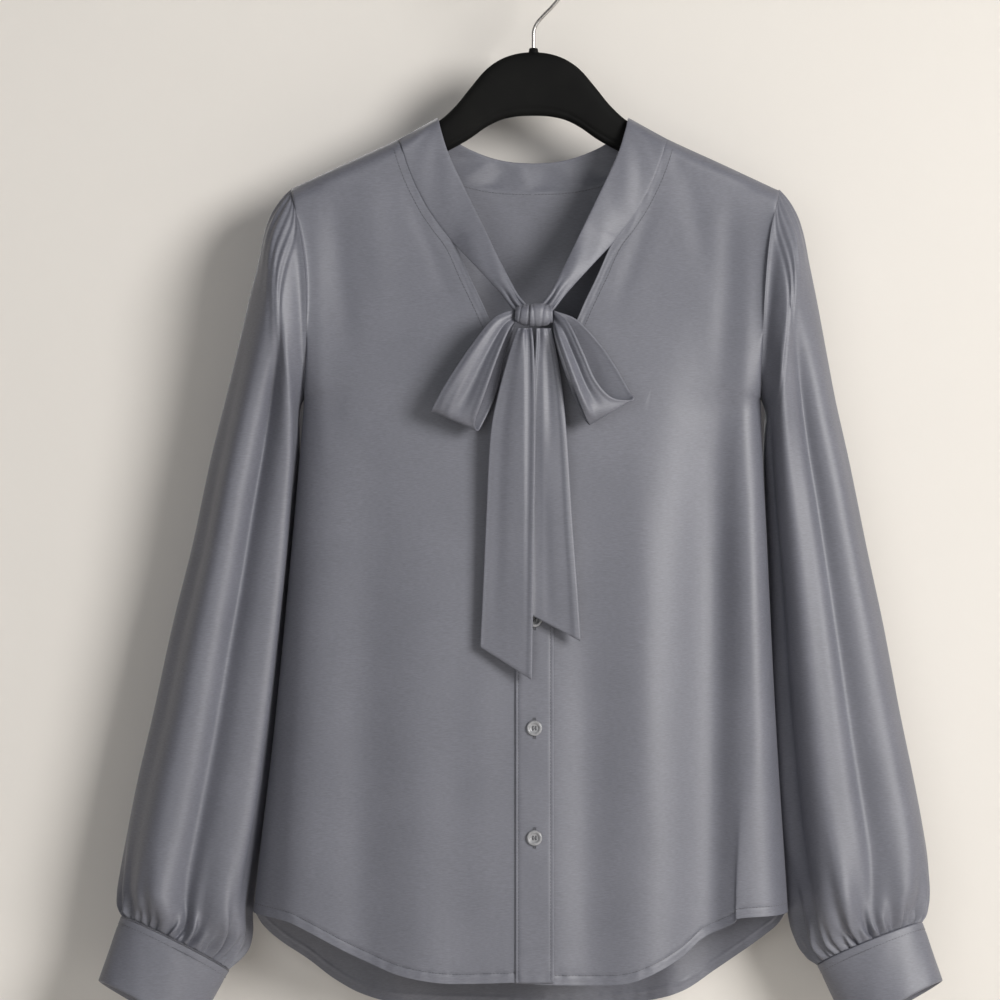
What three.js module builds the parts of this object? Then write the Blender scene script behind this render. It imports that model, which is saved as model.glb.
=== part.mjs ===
// A tie-neck satin blouse hanging on a broad moulded hanger, as a scene of named closed meshes.
// Millimetres. +X is to the right of someone facing the blouse, -Y is its front, +Z is up.
// The origin is the underside of the top of the hook, where a rail bears. Heights are below it, so they are negative.
// left and right in the names are the wearer's: the wearer's right is at -X.
import * as THREE from "three";

// Driving dimensions
const CLOTH = 1.4; // wall of a single panel
const SLEEVE_CLOTH = 1.2;
const BAND_CLOTH = 1.8; // the tie and neckband are two layers
const CUFF_CLOTH = 2.4; // the cuff is two layers with interfacing
const SEAM = 0.35; // gap between two pieces that are sewn together
const UNDERARM = -358;
const TIP = -190; // the shoulder tip, where the armhole begins
const NECK_X = 106; // where the shoulder seam meets the neckband
const ARMHOLE_DEPTH = 27; // half of the armhole, front to back
const WRAP_DEPTH = 17; // the cloth's half depth just under the hanger's arm
const WRAP_DROP = 13; // how far below the shoulder line it reaches that depth
const EASE_DROP = 230; // how far below the shoulder line the body is at its full depth
const FRONT_EDGE = -336; // the foot of the V, where the button band begins
const FRONT_HEM = -819;
const SIDE_HEM = -767;
const PLACKET_LEFT = -14.4;
const PLACKET_RIGHT = 16;
const PLACKET_CLOTH = 1.6;
const RIGHT_FRONT_EDGE = -11; // this front ends just under the button band
const LEFT_FRONT_EDGE = -9; // this front laps under the button band
const BUTTON_RADIUS = 5.9;
const BUTTON_HEIGHTS = [-360, -446, -532.5, -618, -704];
const BUTTON_X = 0.6;
const WIRE_RADIUS = 1.5;
const HOOK_RADIUS = 24; // centre of the wire to centre of the bend
const GATHERS = 20; // gather waves round each sleeve, one crest and one trough each

// Sections of the body at each height: half widths at both sides, depth at the middle of the front and the
// back, and the power of the superellipse that rounds the section (2 is an ellipse, more is squarer).
const BODY_SECTIONS = [
  { z: -120, right: 196, left: 199, front: 17, back: 17, power: 5 },
  { z: -192, right: 193, left: 196.5, front: 22, back: 20, power: 5 },
  { z: -222, right: 185.5, left: 189, front: 25, back: 22, power: 4.6 },
  { z: -260, right: 180.5, left: 184.5, front: 28, back: 24, power: 4.2 },
  { z: -310, right: 180, left: 182, front: 32, back: 27, power: 3.8 },
  { z: -358, right: 183, left: 182, front: 35, back: 29, power: 3.4 },
  { z: -480, right: 193.5, left: 187.5, front: 41, back: 33, power: 3 },
  { z: -620, right: 207, left: 194.5, front: 47, back: 38, power: 2.8 },
  { z: -768, right: 224, left: 204, front: 53, back: 43, power: 2.6 },
  { z: -860, right: 232, left: 209, front: 56, back: 45, power: 2.5 },
];
const SHOULDER_LINE = [
  { x: 0, z: -104 },
  { x: 40, z: -117 },
  { x: 76, z: -132.5 },
  { x: 106, z: -149 },
  { x: 150, z: -169.3 },
  { x: 200, z: -192.5 },
];
const V_EDGE = [
  { x: 15.2, z: -336 },
  { x: 35, z: -294.5 },
  { x: 40, z: -283 },
  { x: 51, z: -260 },
  { x: 62, z: -235.5 },
  { x: 75, z: -217.5 },
  { x: 85, z: -202 },
  { x: 97, z: -177 },
  { x: 106, z: -149.5 },
];
// The hem's height, by the share of the way from the middle to the side seam.
const FRONT_HEM_LINE = [
  { across: 0, right: -817, left: -819 },
  { across: 0.27, right: -818.6, left: -820.2 },
  { across: 0.37, right: -816.5, left: -817.9 },
  { across: 0.475, right: -811.5, left: -809.6 },
  { across: 0.58, right: -802, left: -797.4 },
  { across: 0.65, right: -795, left: -785.5 },
  { across: 0.72, right: -787, left: -778.4 },
  { across: 0.8, right: -778, left: -771.3 },
  { across: 0.87, right: -771.5, left: -768 },
  { across: 1, right: -767, left: -767 },
];
const BACK_HEM_LINE = [
  { across: 0, right: -850, left: -850 },
  { across: 0.3, right: -849, left: -848.5 },
  { across: 0.47, right: -845.5, left: -843 },
  { across: 0.6, right: -838.5, left: -834 },
  { across: 0.7, right: -826.5, left: -821 },
  { across: 0.8, right: -809, left: -806.5 },
  { across: 0.9, right: -793.5, left: -791 },
  { across: 0.965, right: -780, left: -779 },
  { across: 1, right: -767, left: -767 },
];
const BACK_NECK = { middle: -190.4, rise: 41, power: 2.8 };

// Soft vertical folds of the body: where each crest (rise above 0) or trough is at two heights, how far it
// stands out, its width to either side, and the heights where it dies out and where it is full.
const FRONT_FOLDS = [
  { upperX: -172, hemX: -196, rise: 5, before: 12, after: 26, starts: -290, full: -600 },
  { upperX: -130, hemX: -138, rise: -4, before: 18, after: 22, starts: -300, full: -700 },
  { upperX: -84, hemX: -86, rise: 3, before: 22, after: 26, starts: -330, full: -819 },
  { upperX: 44, hemX: 46, rise: -5, before: 20, after: 24, starts: -330, full: -700 },
  { upperX: 98, hemX: 92, rise: 2, before: 36, after: 26, starts: -300, full: -700 },
  { upperX: 145, hemX: 138, rise: -14, before: 30, after: 18, starts: -270, full: -500 },
  { upperX: 179, hemX: 192, rise: 16, before: 20, after: 10, starts: -280, full: -540 },
];
const BACK_FOLDS = [
  { upperX: -150, hemX: -162, rise: 4, before: 20, after: 24, starts: -300, full: -819 },
  { upperX: -104, hemX: -112, rise: -8, before: 20, after: 18, starts: -270, full: -700 },
  { upperX: -52, hemX: -58, rise: 4, before: 24, after: 26, starts: -300, full: -819 },
  { upperX: 8, hemX: 2, rise: -5, before: 26, after: 20, starts: -340, full: -819 },
  { upperX: 62, hemX: 58, rise: 4.5, before: 22, after: 24, starts: -290, full: -819 },
  { upperX: 112, hemX: 112, rise: -8, before: 18, after: 18, starts: -260, full: -700 },
  { upperX: 148, hemX: 152, rise: 4, before: 18, after: 20, starts: -300, full: -819 },
];

// Columns of the body panels: where they leave the neckline, then shares of the way along the shoulder seam.
const FRONT_COLUMNS = {
  neck: [30, 47, 64.5, 78, 91, 100, 103.9, 106],
  shoulder: [0.14, 0.27, 0.38, 0.47, 0.56, 0.66, 0.77, 0.89, 0.965, 1],
};
const BACK_COLUMNS = {
  neck: [21, 42, 64, 85, 98.6, 103.9, 106],
  shoulder: [0.16, 0.32, 0.47, 0.62, 0.77, 0.89, 0.965, 1],
};
// Rows of the body panels: angles round the armhole, then drops below the underarm.
const ARMHOLE_ROWS = [90, 81, 72, 54, 36, 18, 0, -18, -36, -54, -72, -90];
const LOWER_ROWS = [24, 76, 146, 222, 300, 370, 410];

// Sleeve sections from the armhole to the cuff: the outer and the inner point of each, its half depth,
// how far its front stands above its back, and where its middle lies front to back.
const RIGHT_SLEEVE = [
  { outerX: -193, outerZ: -190, innerX: -183, innerZ: -358, depth: 27, lift: 0, middle: 0 },
  { outerX: -203, outerZ: -199, innerX: -185.6, innerZ: -363, depth: 33, lift: 0, middle: 0 },
  { outerX: -213.5, outerZ: -219, innerX: -187, innerZ: -373, depth: 38, lift: 0, middle: 1 },
  { outerX: -220, outerZ: -248, innerX: -187, innerZ: -388, depth: 39, lift: 0, middle: 4 },
  { outerX: -228, outerZ: -278, innerX: -187.4, innerZ: -408, depth: 39, lift: 0, middle: 8 },
  { outerX: -236, outerZ: -312, innerX: -188.4, innerZ: -430, depth: 38.5, lift: 0, middle: 11 },
  { outerX: -245.5, outerZ: -352, innerX: -190.2, innerZ: -455, depth: 38.5, lift: 0, middle: 13 },
  { outerX: -258.5, outerZ: -405, innerX: -192.4, innerZ: -484, depth: 38.5, lift: 0, middle: 14 },
  { outerX: -273, outerZ: -474, innerX: -196.6, innerZ: -528, depth: 39, lift: 1, middle: 15 },
  { outerX: -289, outerZ: -538, innerX: -201.8, innerZ: -583, depth: 40, lift: 2, middle: 15 },
  { outerX: -304.5, outerZ: -608, innerX: -207.6, innerZ: -640, depth: 41, lift: 3, middle: 15 },
  { outerX: -318, outerZ: -664, innerX: -214.5, innerZ: -693, depth: 42, lift: 4, middle: 15 },
  { outerX: -327.5, outerZ: -712, innerX: -222.5, innerZ: -741, depth: 43, lift: 5, middle: 14 },
  { outerX: -332, outerZ: -745, innerX: -226, innerZ: -768, depth: 42, lift: 6, middle: 12 },
  { outerX: -332, outerZ: -759, innerX: -226.5, innerZ: -785, depth: 38, lift: 6.5, middle: 9 },
  { outerX: -331, outerZ: -767, innerX: -231, innerZ: -799, depth: 30, lift: 6.5, middle: 5 },
  { outerX: -328.5, outerZ: -771.5, innerX: -243.5, innerZ: -813.5, depth: 20, lift: 6, middle: 0 },
];
const LEFT_SLEEVE = [
  { outerX: 196.5, outerZ: -190, innerX: 182, innerZ: -358, depth: 27, lift: 0, middle: 0 },
  { outerX: 208, outerZ: -203, innerX: 184.5, innerZ: -363, depth: 33, lift: 0, middle: 0 },
  { outerX: 216, outerZ: -224, innerX: 186, innerZ: -373, depth: 38, lift: 0, middle: 1 },
  { outerX: 221.5, outerZ: -250, innerX: 185, innerZ: -388, depth: 39, lift: 0, middle: 4 },
  { outerX: 228.5, outerZ: -282, innerX: 184.8, innerZ: -408, depth: 39, lift: 0, middle: 8 },
  { outerX: 235.5, outerZ: -318, innerX: 185.2, innerZ: -430, depth: 38.5, lift: 0, middle: 11 },
  { outerX: 243.5, outerZ: -360, innerX: 186.2, innerZ: -455, depth: 38.5, lift: 0, middle: 13 },
  { outerX: 254.5, outerZ: -410, innerX: 187.4, innerZ: -484, depth: 38.5, lift: 0, middle: 14 },
  { outerX: 268.5, outerZ: -480, innerX: 189, innerZ: -528, depth: 39, lift: 1, middle: 15 },
  { outerX: 281, outerZ: -538, innerX: 191, innerZ: -583, depth: 40, lift: 2, middle: 15 },
  { outerX: 294.5, outerZ: -608, innerX: 194.2, innerZ: -640, depth: 41, lift: 3, middle: 15 },
  { outerX: 306.5, outerZ: -664, innerX: 198, innerZ: -693, depth: 42, lift: 4, middle: 15 },
  { outerX: 316, outerZ: -714, innerX: 203, innerZ: -736, depth: 43, lift: 5, middle: 14 },
  { outerX: 318, outerZ: -744, innerX: 206, innerZ: -763, depth: 42, lift: 6, middle: 12 },
  { outerX: 317, outerZ: -758, innerX: 209.5, innerZ: -783, depth: 38, lift: 6.5, middle: 9 },
  { outerX: 314.5, outerZ: -768, innerX: 216.5, innerZ: -799, depth: 30, lift: 6.5, middle: 5 },
  { outerX: 310.5, outerZ: -776.5, innerX: 228, innerZ: -809.5, depth: 20, lift: 6, middle: 0 },
];
// Long folds of a sleeve. at is the angle round the sleeve: 90 is its outer line, 0 its front, -90 its inner
// line, 180 its back. Each has a height, its widths in degrees before and after that angle, and the sections
// where it starts, is full and ends.
const RIGHT_SLEEVE_FOLDS = [
  { at: 58, rise: -3, before: 14, after: 14, starts: 2, full: 8, ends: 16 },
  { at: 27, rise: 4, before: 14, after: 16, starts: 0, full: 5, ends: 16 },
  { at: -6, rise: -12, before: 15, after: 12, starts: 1, full: 5, ends: 16 },
  { at: -45, rise: 8, before: 11, after: 15, starts: 1, full: 5, ends: 16 },
  { at: 150, rise: -7, before: 14, after: 14, starts: 1, full: 6, ends: 16 },
  { at: 180, rise: 3, before: 16, after: 16, starts: 1, full: 5, ends: 16 },
  { at: 212, rise: -6, before: 14, after: 14, starts: 2, full: 7, ends: 16 },
];
const LEFT_SLEEVE_FOLDS = [
  { at: 44, rise: 3, before: 13, after: 16, starts: 2, full: 8, ends: 16 },
  { at: 12, rise: -8, before: 11, after: 13, starts: 1, full: 5, ends: 16 },
  { at: -22, rise: 5, before: 15, after: 11, starts: 0, full: 4, ends: 16 },
  { at: -60, rise: -8, before: 14, after: 14, starts: 1, full: 5, ends: 16 },
  { at: 146, rise: -7, before: 14, after: 14, starts: 1, full: 6, ends: 16 },
  { at: 178, rise: 3, before: 16, after: 16, starts: 1, full: 5, ends: 16 },
  { at: 214, rise: -6, before: 14, after: 14, starts: 2, full: 7, ends: 16 },
];
// Rows of a sleeve, counted in its sections.
const SLEEVE_ROWS = [0, 0.5, 1.2, 2.4, 4, 6, 8, 9.8, 11.4, 12.6, 13.6, 14.5, 15.3, 16];
const RIGHT_CUFF_FOOT = { outerX: -346.5, outerZ: -824, innerX: -273, innerZ: -864, depth: 26, lift: 7 };
const LEFT_CUFF_FOOT = { outerX: 326.5, outerZ: -824, innerX: 254.5, innerZ: -863, depth: 26, lift: 7 };

// The moulded hanger: its top and bottom edge and its half depth at each distance from the middle, and how
// full its section is: 1 is an ellipse, and less is squarer.
const HANGER_SECTIONS = [
  { x: 0, top: -80, bottom: -131, depth: 6.5, fullness: 0.6 },
  { x: 13, top: -81.5, bottom: -131.6, depth: 6.5, fullness: 0.6 },
  { x: 26, top: -86, bottom: -134.5, depth: 6.7, fullness: 0.6 },
  { x: 38, top: -94.5, bottom: -140.5, depth: 7, fullness: 0.6 },
  { x: 50, top: -108.5, bottom: -149, depth: 7, fullness: 0.65 },
  { x: 62, top: -123.2, bottom: -156, depth: 7, fullness: 0.7 },
  { x: 76, top: -135.6, bottom: -163, depth: 7.2, fullness: 0.8 },
  { x: 106, top: -151, bottom: -175, depth: 8, fullness: 0.85 },
  { x: 150, top: -171.3, bottom: -190, depth: 9.6, fullness: 0.85 },
  { x: 174, top: -182.6, bottom: -200, depth: 9.6, fullness: 0.85 },
  { x: 180, top: -187, bottom: -196, depth: 6, fullness: 0.85 },
];

// The neckband from the shoulder. sewn counts the panel's column that its edge is sewn to, or else seam is
// where that edge hangs free. free is its other edge, and bulge how far its middle stands out.
const NECKBAND_FRONT = [
  { sewn: 8, free: [76.5, -0.2, -133.4], bulge: 0.2 },
  { sewn: 7, free: [75.6, -9.6, -136.4], bulge: 0.4 },
  { sewn: 6, free: [73.5, -14, -145], bulge: 0.7 },
  { sewn: 5, free: [67, -17.5, -165], bulge: 1 },
  { sewn: 4, free: [52.6, -22, -196], bulge: 1.2 },
  { sewn: 3, free: [40, -27, -222], bulge: 1.4 },
  { seam: [44.5, -31.5, -254], free: [28.5, -32, -246], bulge: 1.8 },
  { seam: [26.5, -37, -274], free: [19.5, -36.5, -263.5], bulge: 2 },
  { seam: [16.5, -40.2, -287], free: [12, -39.4, -277], bulge: 1.2 },
  { seam: [9.5, -41.6, -294.5], free: [4, -41.4, -286.5], bulge: 0.2 },
];
const NECKBAND_BACK = [
  { sewn: 7, free: [76.5, 0.2, -133.4], bulge: 0.2 },
  { sewn: 6, free: [75, 10, -136.8], bulge: 0.3 },
  { sewn: 5, free: [70, 14, -144], bulge: 0.5 },
  { sewn: 4, free: [58, 16.8, -153], bulge: 0.7 },
  { sewn: 3, free: [46, 18.2, -159], bulge: 0.8 },
  { sewn: 2, free: [32, 19.2, -164], bulge: 0.9 },
  { sewn: 1, free: [17, 19.7, -167], bulge: 1 },
  { sewn: 0, free: [0, 19.8, -168], bulge: 1 },
];
const KNOT = { x: 0.4, y: -52.5, z: -293, halfWidth: 14.6, halfHeight: 10, halfDepth: 9.5 };
const RIGHT_LOOP = [
  { outer: [-15, -52, -289], inner: [-15, -52, -297.5] },
  { outer: [-31, -58, -296.5], inner: [-20.5, -58.5, -306] },
  { outer: [-49, -62, -318.5], inner: [-29, -62.5, -326.5] },
  { outer: [-67.5, -62, -346], inner: [-39, -63, -354.5] },
  { outer: [-78, -58.5, -364.5], inner: [-46.5, -60, -376] },
  { outer: [-79.5, -54, -368.5], inner: [-44.5, -54.5, -383.5] },
  { outer: [-75.5, -49.5, -361.5], inner: [-40.5, -49.5, -377.5] },
  { outer: [-64.5, -47.5, -344], inner: [-31, -47, -356.5] },
  { outer: [-47.5, -46.5, -320], inner: [-23.5, -46.5, -326.5] },
  { outer: [-29.5, -47.5, -300.5], inner: [-18, -47.5, -308.5] },
  { outer: [-15, -47.8, -289.5], inner: [-15, -47.8, -298] },
];
const LEFT_LOOP = [
  { outer: [15.9, -52.2, -290], inner: [15.9, -52.2, -298.5] },
  { outer: [27, -60, -300], inner: [19, -61, -312.5] },
  { outer: [38.5, -63, -324], inner: [26.5, -65, -334.5] },
  { outer: [48, -61.5, -345], inner: [34.5, -65, -356] },
  { outer: [61, -58.5, -358.5], inner: [41, -61, -372.5] },
  { outer: [77.6, -54, -359.5], inner: [44.5, -55, -378.5] },
  { outer: [74.5, -50, -353], inner: [40.5, -49.5, -374] },
  { outer: [64.5, -48, -335], inner: [31.5, -46.8, -354.5] },
  { outer: [52, -46.5, -316.5], inner: [22.5, -46.2, -330.5] },
  { outer: [33.5, -47.2, -297], inner: [16.5, -47, -309] },
  { outer: [15.9, -47.8, -290], inner: [15.9, -47.8, -299] },
];
// Pleats die out down each tail: fold is the height of its two pleats at that row.
const RIGHT_TAIL = [
  { outer: [-12, -53.5, -303.4], inner: [-2, -53.5, -303.4], fold: 3.2 },
  { outer: [-17, -54, -318], inner: [-0.6, -55, -318], fold: 3.2 },
  { outer: [-28, -53, -358], inner: [0.6, -55.5, -352], fold: 2.6 },
  { outer: [-33.6, -52.5, -391], inner: [0.7, -56, -391], fold: 2 },
  { outer: [-36.8, -52.5, -455], inner: [-0.4, -56.5, -455], fold: 1.4 },
  { outer: [-39.2, -53, -508.5], inner: [-1.2, -57, -516], fold: 1 },
  { outer: [-41.6, -53.5, -556], inner: [-2.1, -57, -581.5], fold: 0.6 },
];
const LEFT_TAIL = [
  { outer: [13, -52.6, -303.4], inner: [2.6, -52.6, -303.4], fold: 3 },
  { outer: [16.4, -52.5, -320], inner: [2, -52, -319], fold: 3 },
  { outer: [21.6, -52, -350.5], inner: [-0.5, -51.6, -350.5], fold: 2.2 },
  { outer: [25.6, -52.5, -391], inner: [-2, -51.6, -391], fold: 1.4 },
  { outer: [29.6, -54, -455], inner: [-3, -51.8, -455], fold: 1 },
  { outer: [33.6, -55, -508.5], inner: [-3.2, -52.4, -502], fold: 0.7 },
  { outer: [36.4, -55.5, -550.5], inner: [-3.4, -52.8, -529], fold: 0.4 },
];

const SATIN = new THREE.MeshStandardMaterial({ color: 0x7d7e85, roughness: 0.42, metalness: 0 });
const BLACK_PLASTIC = new THREE.MeshStandardMaterial({ color: 0x171717, roughness: 0.5, metalness: 0 });
const STEEL = new THREE.MeshStandardMaterial({ color: 0xa9a7a4, roughness: 0.25, metalness: 1 });
const BUTTON = new THREE.MeshStandardMaterial({ color: 0x8f9093, roughness: 0.3, metalness: 0 });

const ACROSS = new THREE.Vector3(1, 0, 0);
const FRONT_TO_BACK = new THREE.Vector3(0, 1, 0);

const clamp01 = (t) => Math.min(1, Math.max(0, t));
const mix = (a, b, t) => a + (b - a) * t;
const smooth = (t) => clamp01(t) ** 2 * (3 - 2 * clamp01(t));
const radians = (degrees) => (degrees * Math.PI) / 180;
const range = (count) => Array.from({ length: count }, (_, i) => i);

// The value of one named column of a table at a place along its key column, on a smooth curve.
function reading(table, key, place, name) {
  const descending = table[0][key] > table[table.length - 1][key];
  const before = (row) => (descending ? row[key] >= place : row[key] <= place);
  let i = table.findLastIndex(before);
  i = Math.min(table.length - 2, Math.max(0, i));
  const slope = (j, k) => (table[k][name] - table[j][name]) / (table[k][key] - table[j][key]);
  const last = table.length - 1;
  const startSlope = slope(Math.max(0, i - 1), i + 1);
  const endSlope = slope(i, Math.min(last, i + 2));
  const span = table[i + 1][key] - table[i][key];
  const t = clamp01((place - table[i][key]) / span);
  const rise = table[i + 1][name] - table[i][name];
  const curve = table[i][name] + rise * t * t * (3 - 2 * t);
  return curve + span * t * (1 - t) * (startSlope * (1 - t) - endSlope * t);
}

// The same for a table whose rows are evenly spaced: place counts rows, and a column may hold a point.
function row(table, place) {
  const numbered = table.map((r, index) => ({ ...r, index }));
  const result = {};
  for (const name of Object.keys(table[0])) {
    if (Array.isArray(table[0][name])) {
      const axes = numbered.map((r) => ({ index: r.index, x: r[name][0], y: r[name][1], z: r[name][2] }));
      const at = (axis) => reading(axes, "index", place, axis);
      result[name] = new THREE.Vector3(at("x"), at("y"), at("z"));
    } else {
      result[name] = reading(numbered, "index", place, name);
    }
  }
  return result;
}

// A closed mesh from points and triangles, turned so that its faces point out.
function closedGeometry(points, triangles) {
  const p = points;
  let volume = 0;
  for (const [a, b, c] of triangles) {
    volume += p[a].dot(new THREE.Vector3().crossVectors(p[b], p[c]));
  }
  const facing = volume < 0 ? triangles.map(([a, b, c]) => [a, c, b]) : triangles;
  const geometry = new THREE.BufferGeometry();
  geometry.setAttribute("position", new THREE.Float32BufferAttribute(p.flatMap((v) => [v.x, v.y, v.z]), 3));
  geometry.setIndex(facing.flat());
  geometry.computeVertexNormals();
  return geometry;
}

// The normal at each point of a grid, from the faces round it. around joins the last column to the first.
function gridNormals(grid, around) {
  const rows = grid.length;
  const columns = grid[0].length;
  const normals = grid.map((line) => line.map(() => new THREE.Vector3()));
  for (const i of range(rows - 1)) {
    for (const j of range(around ? columns : columns - 1)) {
      const k = (j + 1) % columns;
      const across = new THREE.Vector3().subVectors(grid[i + 1][k], grid[i][j]);
      const other = new THREE.Vector3().subVectors(grid[i + 1][j], grid[i][k]);
      const face = across.cross(other);
      for (const [r, c] of [[i, j], [i, k], [i + 1, j], [i + 1, k]]) {
        normals[r][c].add(face);
      }
    }
  }
  normals.forEach((line) => line.forEach((n) => n.normalize()));
  return normals;
}

// A wall of cloth on a grid of points. It reaches out by outward and in by inward along the normals, whose
// sense sign turns round. around makes a tube with open ends, and without it all four edges are closed off.
// square lists the axes that the thickness at a point is square to, so that two pieces meet edge to edge.
function wall(grid, { outward = 0, inward = 0, around = false, sign = 1, square = () => [] }) {
  const rows = grid.length;
  const columns = grid[0].length;
  const normals = gridNormals(grid, around);
  normals.forEach((line, i) =>
    line.forEach((normal, j) => {
      square(i, j).forEach((axis) => normal.addScaledVector(axis, -normal.dot(axis)));
      normal.normalize();
    }),
  );
  const points = [];
  for (const distance of [outward * sign, -inward * sign]) {
    grid.forEach((line, i) =>
      line.forEach((point, j) => points.push(point.clone().addScaledVector(normals[i][j], distance))),
    );
  }
  const outer = (i, j) => i * columns + (j % columns);
  const inner = (i, j) => rows * columns + outer(i, j);
  const triangles = [];
  const quad = (a, b, c, d) => triangles.push([a, b, c], [a, c, d]);
  const strips = around ? columns : columns - 1;
  for (const j of range(strips)) {
    for (const i of range(rows - 1)) {
      quad(outer(i, j), outer(i, j + 1), outer(i + 1, j + 1), outer(i + 1, j));
      quad(inner(i, j), inner(i + 1, j), inner(i + 1, j + 1), inner(i, j + 1));
    }
    quad(outer(0, j), inner(0, j), inner(0, j + 1), outer(0, j + 1));
    quad(outer(rows - 1, j), outer(rows - 1, j + 1), inner(rows - 1, j + 1), inner(rows - 1, j));
  }
  if (!around) {
    const end = columns - 1;
    for (const i of range(rows - 1)) {
      quad(outer(i, 0), outer(i + 1, 0), inner(i + 1, 0), inner(i, 0));
      quad(outer(i, end), inner(i, end), inner(i + 1, end), outer(i + 1, end));
    }
  }
  return closedGeometry(points, triangles);
}

// A solid through a row of rings, with its ends closed.
function loft(rings) {
  const sides = rings[0].length;
  const points = rings.flat();
  const triangles = [];
  for (const i of range(rings.length - 1)) {
    for (const j of range(sides)) {
      const k = (j + 1) % sides;
      triangles.push([i * sides + j, i * sides + k, (i + 1) * sides + k]);
      triangles.push([i * sides + j, (i + 1) * sides + k, (i + 1) * sides + j]);
    }
  }
  const last = (rings.length - 1) * sides;
  for (const j of range(sides - 2)) {
    triangles.push([0, j + 2, j + 1]);
    triangles.push([last, last + j + 1, last + j + 2]);
  }
  return closedGeometry(points, triangles);
}

// How far the cloth stands out at x because of the folds, at a height.
function foldRise(folds, x, z) {
  return folds.reduce((sum, fold) => {
    const strength = smooth((fold.starts - z) / (fold.starts - fold.full));
    const middle = mix(fold.upperX, fold.hemX, clamp01((UNDERARM - z) / (UNDERARM - FRONT_HEM)));
    const width = x < middle ? fold.before : fold.after;
    return sum + fold.rise * strength * Math.exp(-(((x - middle) / width) ** 2));
  }, 0);
}

const sideName = (x) => (x < 0 ? "right" : "left");
const halfWidth = (z, side) => reading(BODY_SECTIONS, "z", z, side);
const shoulderHeight = (x) => reading(SHOULDER_LINE, "x", Math.abs(x), "z");

// Half of the armhole's depth at a height, and 0 above and below it.
function armholeDepth(z) {
  const middle = (TIP + UNDERARM) / 2;
  const half = (TIP - UNDERARM) / 2;
  return ARMHOLE_DEPTH * Math.sqrt(Math.max(0, 1 - ((z - middle) / half) ** 2));
}

// How far the front or the back of the body stands from the plane of the seams.
function bodyDepth(face, x, z) {
  const half = halfWidth(z, sideName(x));
  const below = Math.max(0, shoulderHeight(x) - z);
  const wrap = WRAP_DEPTH * Math.sqrt(1 - (1 - clamp01(below / WRAP_DROP)) ** 2);
  const full = reading(BODY_SECTIONS, "z", z, face);
  const middle = wrap + smooth(below / EASE_DROP) * (full - WRAP_DEPTH);
  const power = reading(BODY_SECTIONS, "z", z, "power");
  const across = Math.max(0, 1 - clamp01(Math.abs(x) / half) ** power) ** (1 / power);
  const edge = armholeDepth(z);
  const folds = foldRise(face === "front" ? FRONT_FOLDS : BACK_FOLDS, x, z);
  return edge + (middle - edge) * across + folds * across;
}

function bodyPoint(face, x, z) {
  const depth = bodyDepth(face, x, z) + SEAM / 2;
  return new THREE.Vector3(x, face === "front" ? -depth : depth, z);
}

// The upper edge of the cloth at x: the neckline as far as the shoulder seam, then the seam.
function topEdge(face, x) {
  const reach = Math.abs(x);
  if (reach >= NECK_X) return shoulderHeight(reach);
  if (face === "back") {
    return BACK_NECK.middle + BACK_NECK.rise * (reach / NECK_X) ** BACK_NECK.power;
  }
  return reach <= V_EDGE[0].x ? FRONT_EDGE : reading(V_EDGE, "x", reach, "z");
}

// The curved tail of the hem. across runs from 0 at the middle to 1 at the side seam.
function hemHeight(face, side, across) {
  return reading(face === "front" ? FRONT_HEM_LINE : BACK_HEM_LINE, "across", across, side);
}

// Where a column of the panel, a share of the way from its inner edge to its side, lies at a height.
function columnX(innerX, direction, share, z) {
  return mix(innerX, halfWidth(z, sideName(direction)) * direction, share);
}

// The height of the top of a column, found by stepping until it lies on the upper edge.
function columnTop(face, innerX, direction, share) {
  let z = TIP;
  for (let step = 0; step < 12; step += 1) {
    z = topEdge(face, columnX(innerX, direction, share, z));
  }
  return z;
}

// Rows down the side of a panel, as shares of its length: closer together at both ends of the armhole.
function sideRows() {
  const half = (TIP - UNDERARM) / 2;
  const armhole = ARMHOLE_ROWS.map((angle) => half * (1 - Math.sin(radians(angle))));
  const lower = LOWER_ROWS.map((drop) => TIP - UNDERARM + drop);
  return [...armhole, ...lower].map((drop) => drop / (TIP - SIDE_HEM));
}

// The points of half a body panel, from innerX to the side. Its rows run from the upper edge to the hem.
function bodyGrid(face, innerX, direction) {
  const neckWidth = halfWidth(shoulderHeight(NECK_X), sideName(direction)) * direction;
  const { neck, shoulder } = face === "front" ? FRONT_COLUMNS : BACK_COLUMNS;
  const neckShares = neck.map((x) => (x * direction - innerX) / (neckWidth - innerX));
  const neckShare = neckShares[neck.length - 1];
  const shares = [0, ...neckShares, ...shoulder.map((t) => mix(neckShare, 1, t))];
  const side = sideRows();
  const columns = shares.map((share) => {
    const top = columnTop(face, innerX, direction, share);
    const sideLike = smooth(share / neckShare);
    return side.map((place, i) => {
      const down = mix(i / (side.length - 1), place, sideLike);
      let z = top;
      for (let step = 0; step < 6; step += 1) {
        const across = Math.abs(columnX(innerX, direction, share, z)) / halfWidth(z, sideName(direction));
        z = mix(top, hemHeight(face, sideName(direction), across), down);
      }
      return bodyPoint(face, columnX(innerX, direction, share, z), z);
    });
  });
  return side.map((_, i) => columns.map((column) => column[i]));
}

// Shoulder and side seams are square to the line from front to back, and the armhole's edge to the line across.
function seamSquares(side, neckEnds) {
  return (i, j) => {
    const atArmhole = side.includes(j) && i < ARMHOLE_ROWS.length - 1;
    const atShoulder = i === 0 && (j >= neckEnds[1] || j <= neckEnds[0]);
    const atSide = side.includes(j) && !atArmhole;
    return [...(atArmhole ? [ACROSS] : []), ...(atShoulder || atSide ? [FRONT_TO_BACK] : [])];
  };
}

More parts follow.
